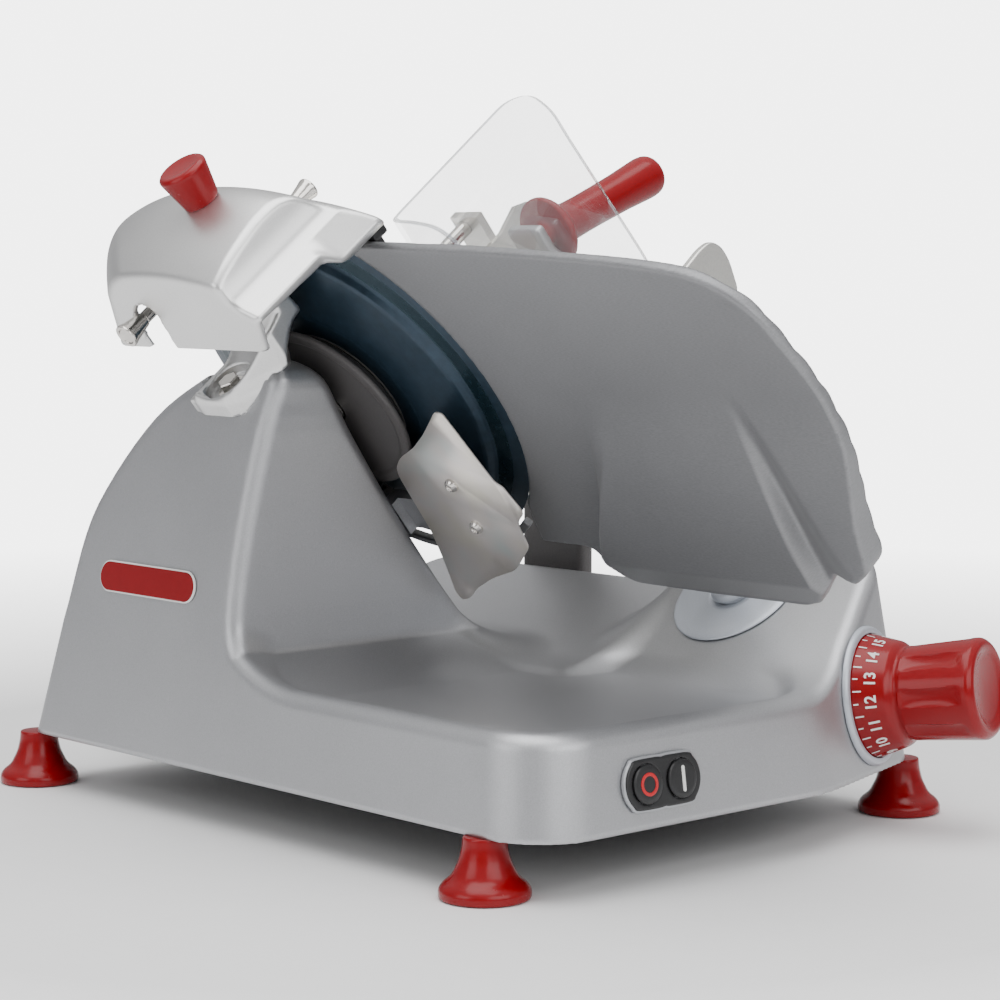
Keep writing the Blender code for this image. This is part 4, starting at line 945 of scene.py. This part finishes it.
# Switch --------------------------------------------------------------------
def switch():
    middle = centre("switch_bezel")
    turn = Matrix.Rotation(math.pi / 2 - math.atan(DRAFT), 4, "X")
    place = Matrix.Translation(middle) @ turn
    low, high = extent("switch_bezel", place)
    place = place @ Matrix.Translation(((low.x + high.x) / 2, (low.y + high.y) / 2, high.z - 0.0040))
    lobe = (high.x - low.x) / 2 - 0.015

    def peanut(radius, waist):
        return curved(arc((lobe, 0.0), radius, -62, 62, 8) + [(lobe * 0.35, waist + 0.0004), (0.0, waist), (-lobe * 0.35, waist + 0.0004)]
                      + arc((-lobe, 0.0), radius, 118, 242, 8)
                      + [(-lobe * 0.35, -waist - 0.0004), (0.0, -waist), (lobe * 0.35, -waist - 0.0004)], 4)

    def plate(outline, top):
        def field(a, b, c):
            solid = meet(outline_field(outline, a, b), np.maximum(c - top, 0.0002 - c), 0.0008)
            holes = np.sqrt((np.abs(a) - lobe) ** 2 + b ** 2) - 0.0107
            return np.maximum(solid, -holes)
        wide = lobe + 0.0158
        return cast(field, (-wide, -0.0158, 0.0002), (wide, 0.0158, top), 0.0006, "switch_plate")

    piece("switch_rim", plate(peanut(0.0158, 0.0140), 0.0026), place, ["switch_bezel"], look=LIGHT_RIM)
    piece("switch_pad", plate(peanut(0.0146, 0.0128), 0.0036), place, body="base", look=FINISHES["black_plastic"])
    for node, side in (("off_button", -1), ("on_button", 1)):
        spot = place @ Matrix.Translation((side * lobe, 0.0, 0.0))
        outline = [(0.0, 0.0026), (0.0102, 0.0026), (0.0103, 0.0044), (0.0098, 0.0050), (0.0080, 0.0053), (0.0, 0.0053)]
        piece(f"{node}_v", lathe(soften(outline, 0.0005), 64), spot, [node])
    ring = lathe(soften([(0.0043, 0.0050), (0.0061, 0.0050), (0.0061, 0.0056), (0.0043, 0.0056)], 0.0002, 2, closed=True), 64)
    piece("off_mark", ring, place @ Matrix.Translation((-lobe, 0.0, 0.0)), body="off_button", look=RED_PRINT)
    bar = arc((0.0, 0.0058), 0.0011, 0, 180, 8) + arc((0.0, -0.0058), 0.0011, 180, 360, 8)
    made = piece("on_mark", slab(bar, 0.0050, 0.0056, across_z), place @ Matrix.Translation((lobe, 0.0, 0.0)),
                 body="on_button", look=WHITE)
    bevel(made, 0.0002)


# Carriage ------------------------------------------------------------------
def carriage():
    low, high = extent("front_fence", BLADE)
    side = [(low.x, low.z), (0.303, low.z), (high.x, 0.166), (0.3080, 0.177), (0.3030, 0.185),
            (0.2930, high.z), (low.x, high.z - 0.007)]
    made = piece("fence_v", slab(soften(side, 0.006, 5, closed=True), low.y, high.y, across_y), BLADE, ["front_fence"])
    bevel(made, 0.0012)
    low, high = extent("hand_guard", BLADE)
    top = high.z
    far = high.x
    bend = [(0.1195, -0.134), (0.1195, -0.096), (0.1215, -0.0898), (0.1280, -0.0892), (far, -0.0892)]
    line = soften(bend, 0.006, 5)
    made = piece("hand_guard_v", guard_sheet(line, low.z, top), BLADE, ["hand_guard"], sharp=60)
    sheet = made.modifiers.new("sheet", "SOLIDIFY")
    sheet.thickness = 0.0028
    sheet.offset = 0.0
    sheet.material_offset_rim = 1
    made.data.materials.append(CLEAR_EDGE)


def guard_sheet(line, bottom, top):
    """The bent clear sheet, its free corners rounded."""
    lengths = [0.0]
    for (a, b), (c, d) in zip(line, line[1:]):
        lengths.append(lengths[-1] + math.hypot(c - a, d - b))
    whole = lengths[-1]
    outline = [(0.0, bottom), (whole, bottom), (whole, 0.214), (whole - 0.0055, 0.300), (whole - 0.006, 0.3205),
               (whole - 0.0135, 0.338), (whole - 0.031, top), (0.030, top), (0.010, top - 0.004), (0.0, top - 0.016)]
    edge = soften(outline, 0.008, 5, closed=True)
    mesh = bmesh.new()
    mesh.faces.new([mesh.verts.new((s, 0.0, z)) for s, z in edge])
    for s in lengths[1:-1]:
        bmesh.ops.bisect_plane(mesh, geom=mesh.verts[:] + mesh.edges[:] + mesh.faces[:],
                               plane_co=(s, 0, 0), plane_no=(1, 0, 0))
    for vert in mesh.verts:
        n, y = spot_on(line, lengths, vert.co.x)
        vert.co.x, vert.co.y = n, y
    bmesh.ops.recalc_face_normals(mesh, faces=mesh.faces)
    return mesh


def spot_on(line, lengths, s):
    for k in range(len(line) - 1):
        if s <= lengths[k + 1] + 1e-9 or k == len(line) - 2:
            t = (s - lengths[k]) / (lengths[k + 1] - lengths[k])
            return (line[k][0] + (line[k + 1][0] - line[k][0]) * t, line[k][1] + (line[k + 1][1] - line[k][1]) * t)
    return line[-1]


def handle():
    """The waisted red grip and its flared collar."""
    heading = Vector((math.cos(math.radians(16)), 0.0, -math.sin(math.radians(16))))
    start = Vector((0.270, 0.0, 0.2175))
    place = BLADE @ along(start, heading)
    low, high = extent("pusher_handle", place)
    top = high.z
    outline = [(0.0, low.z), (0.0080, low.z), (0.0080, 0.0), (0.0222, 0.0), (0.0232, 0.0014), (0.0230, 0.0034),
               (0.0205, 0.0066), (0.0160, 0.0098), (0.0134, 0.0128), (0.0122, 0.0180), (0.0118, 0.0300),
               (0.0119, 0.0480), (0.0124, 0.0680), (0.0133, 0.0850), (0.0136, 0.0915), (0.0130, 0.0965),
               (0.0112, 0.0993), (0.0080, top - 0.0002), (0.0, top)]
    piece("pusher_handle_v", lathe(soften(outline, 0.0025), 96), place, ["pusher_handle"])


def carriage_arm():
    """The cast arm from the slide up to the table, a rounded box section with a recessed outer face."""
    low, high = extent("carriage_arm")
    near_x, far_x = high.x - 0.012, high.x
    under = extent("product_table", BLADE)[0].z - 0.0004
    tip = BLADE @ Vector((0.250, 0.0, under))
    heel = BLADE @ Vector((0.318, 0.0, under))
    inner = BLADE @ Vector((0.250, 0.0, under - 0.012))
    line = [(tip.x, tip.z), (heel.x, heel.z), (far_x, 0.296), (far_x, low.z), (low.x, low.z), (low.x, 0.0745),
            (near_x, 0.0745), (near_x, 0.262), (inner.x, inner.z)]
    smoothed = soften(line, 0.006, 4, closed=True)
    middle = (low.y + high.y) / 2

    def field(x, y, z):
        width = np.abs(y - middle) - (high.y - low.y) / 2
        solid = meet(outline_field(smoothed, x, z), width, 0.005)
        recess = box_field(x, y, z, (far_x - 0.0025, middle - 0.019, 0.092), (far_x + 0.010, middle + 0.019, 0.270),
                           0.0022)
        return meet(solid, -recess, 0.0015)

    data = cast(field, low, high, 0.0020, "carriage_arm_v")
    piece("carriage_arm_v", data, WORLD, ["carriage_arm"], sharp=50)


def pusher_arm():
    """The clamp on its rod, and the arm that carries the plate and the grip."""
    pivot = BLADE @ Matrix.Translation((0.0, 0.114, 0.200))
    low, high = extent("pusher_arm", pivot)

    def field(n, y, u):
        boss = np.sqrt(y ** 2 + u ** 2) - 0.0125
        boss = meet(boss, np.maximum(low.x - n, n - high.x), 0.0012)
        bar = box_field(n, y, u, (0.2543, low.y, -0.005), (0.2620, -0.005, 0.008), 0.0025)
        post = box_field(n, y, u, (0.2543, low.y, -0.005), (0.2620, -0.100, high.z), 0.0025)
        solid = blend(blend(bar, post, 0.008), boss, 0.006)
        return np.maximum(solid, 0.0079 - np.sqrt(y ** 2 + u ** 2))

    grown = Vector((0.0, 0.0020, 0.0020))
    data = cast(field, low - grown, high + grown, 0.0013, "pusher_arm_v")
    piece("pusher_arm_v", data, pivot, ["pusher_arm"], sharp=50)


def tube(points, radius, sides=20):
    """A round cord along a line of points, its ring turned on from point to point."""
    mesh = bmesh.new()
    across = Vector((0.0, 0.0, 1.0))
    rings = []
    for k, point in enumerate(points):
        ahead = (Vector(points[min(k + 1, len(points) - 1)]) - Vector(points[max(k - 1, 0)])).normalized()
        across = (across - ahead * across.dot(ahead)).normalized()
        beside = ahead.cross(across)
        ring = []
        for i in range(sides):
            angle = 2 * math.pi * i / sides
            offset = across * math.cos(angle) + beside * math.sin(angle)
            ring.append(mesh.verts.new(Vector(point) + offset * radius))
        rings.append(ring)
    for first, second in zip(rings, rings[1:]):
        for i in range(sides):
            j = (i + 1) % sides
            mesh.faces.new((first[i], first[j], second[j], second[i]))
    mesh.faces.new(rings[0])
    mesh.faces.new(rings[-1])
    bmesh.ops.recalc_face_normals(mesh, faces=mesh.faces)
    return mesh


def power_cable():
    """A smooth cord from the gland to the ground and along the back."""
    low, high = extent("power_cable")
    rest = 0.0047
    way = [(-0.060, 0.198, 0.060), (-0.060, 0.222, 0.060), (-0.0595, 0.240, 0.0575), (-0.057, 0.254, 0.043),
           (-0.052, 0.266, 0.020), (-0.040, 0.276, 0.0085), (-0.015, 0.285, rest), (0.030, 0.289, rest),
           (0.080, 0.287, rest), (high.x, 0.2845, rest)]
    piece("power_cable_v", tube(curved(way, 8, closed=False), 0.0040), WORLD, ["power_cable"], sharp=60)


# Every other CAD node ------------------------------------------------------
def dress():
    for name, node in NODES.items():
        node.data.materials.clear()
        node.data.materials.append(FINISHES[SLOT_OF[name]])
        if not node.hide_render:
            node.data.shade_smooth()
            node.data.set_sharp_from_angle(angle=math.radians(35))
            if name != "drive_belt":
                bevel(node, 0.0005, 2, 35.0)


# Studio --------------------------------------------------------------------
def light(name, spot, aim, size, power):
    data = bpy.data.lights.new(name, "AREA")
    data.shape = "RECTANGLE"
    data.size, data.size_y = size
    data.energy = power
    made = bpy.data.objects.new(name, data)
    bpy.context.scene.collection.objects.link(made)
    made.location = spot
    made.rotation_euler = (Vector(aim) - Vector(spot)).to_track_quat("-Z", "Y").to_euler()


def floor_finish():
    """White paper that brightens away from the object until it meets the room."""
    made = finish("floor_white", (0.93, 0.93, 0.93), 0.6, 0.0, 60.0, 0.0, 0.005, wear=0.005)
    tree = made.node_tree
    where = tree.nodes.new("ShaderNodeTexCoord")
    far = tree.nodes.new("ShaderNodeVectorMath")
    far.operation = "LENGTH"
    tree.links.new(where.outputs["Object"], far.inputs[0])
    fade = ramp(tree, far.outputs["Value"], 0.45, 1.5, 0.0, 1.0)
    rays = tree.nodes.new("ShaderNodeLightPath")
    seen = tree.nodes.new("ShaderNodeMath")
    seen.operation = "MULTIPLY"
    tree.links.new(fade, seen.inputs[0])
    tree.links.new(rays.outputs["Is Camera Ray"], seen.inputs[1])
    glow = tree.nodes.new("ShaderNodeEmission")
    glow.inputs["Color"].default_value = (1.0, 1.0, 1.0, 1.0)
    glow.inputs["Strength"].default_value = ROOM_WHITE
    mix = tree.nodes.new("ShaderNodeMixShader")
    tree.links.new(seen.outputs["Value"], mix.inputs[0])
    tree.links.new(tree.nodes["Principled BSDF"].outputs["BSDF"], mix.inputs[1])
    tree.links.new(glow.outputs["Emission"], mix.inputs[2])
    tree.links.new(mix.outputs["Shader"], tree.nodes["Material Output"].inputs["Surface"])
    return made


ROOM_WHITE = 5.0


def studio():
    """A white floor that fades into a white room, lit from above."""
    world = bpy.data.worlds.new("room")
    world.use_nodes = True
    bpy.context.scene.world = world
    tree = world.node_tree
    back = tree.nodes["Background"]
    where = tree.nodes.new("ShaderNodeTexCoord")
    split = tree.nodes.new("ShaderNodeSeparateXYZ")
    tree.links.new(where.outputs["Generated"], split.inputs["Vector"])
    tone = tree.nodes.new("ShaderNodeValToRGB")
    tone.color_ramp.elements[0].position = 0.35
    tone.color_ramp.elements[0].color = (0.80, 0.80, 0.81, 1.0)
    tone.color_ramp.elements[1].position = 0.95
    tone.color_ramp.elements[1].color = (1.0, 1.0, 1.0, 1.0)
    middle = tone.color_ramp.elements.new(0.60)
    middle.color = (0.30, 0.30, 0.31, 1.0)
    height = ramp(tree, split.outputs["Z"], -1.0, 1.0, 0.0, 1.0)
    tree.links.new(height, tone.inputs["Fac"])
    rays = tree.nodes.new("ShaderNodeLightPath")
    pick = tree.nodes.new("ShaderNodeMix")
    pick.data_type = "RGBA"
    pick.inputs["B"].default_value = (ROOM_WHITE, ROOM_WHITE, ROOM_WHITE, 1.0)
    tree.links.new(rays.outputs["Is Camera Ray"], pick.inputs["Factor"])
    tree.links.new(tone.outputs["Color"], pick.inputs["A"])
    tree.links.new(pick.outputs["Result"], back.inputs["Color"])
    back.inputs["Strength"].default_value = 1.0
    mesh = bmesh.new()
    bmesh.ops.create_circle(mesh, cap_ends=True, radius=6.0, segments=64)
    data = bpy.data.meshes.new("floor")
    mesh.to_mesh(data)
    mesh.free()
    floor = bpy.data.objects.new("floor", data)
    floor.location.z = -0.0005
    data.materials.append(floor_finish())
    bpy.context.scene.collection.objects.link(floor)
    light("top_box", (-0.25, -0.20, 1.7), (0.0, 0.0, 0.1), (1.6, 1.6), 26)
    light("front_box", (-0.2, -1.9, 1.0), (0.0, 0.0, 0.12), (1.8, 1.0), 16)
    light("left_box", (-2.0, 0.1, 0.9), (0.0, 0.0, 0.15), (1.2, 1.0), 9)


def camera():
    data = bpy.data.cameras.new("camera")
    data.lens = 97.46
    data.sensor_width = 36.0
    made = bpy.data.objects.new("camera", data)
    made.location = (-1.0640, -1.2216, 0.3238)
    made.rotation_euler = Vector((0.66617, 0.74054, -0.08877)).to_track_quat("-Z", "Y").to_euler()
    bpy.context.scene.collection.objects.link(made)
    bpy.context.scene.camera = made


base()
feet()
badge()
blade_parts()
deflector()
guard_ring()
sharpener()
gauge()
knob()
switch()
carriage()
carriage_arm()
pusher_arm()
handle()
power_cable()
dress()
studio()
camera()
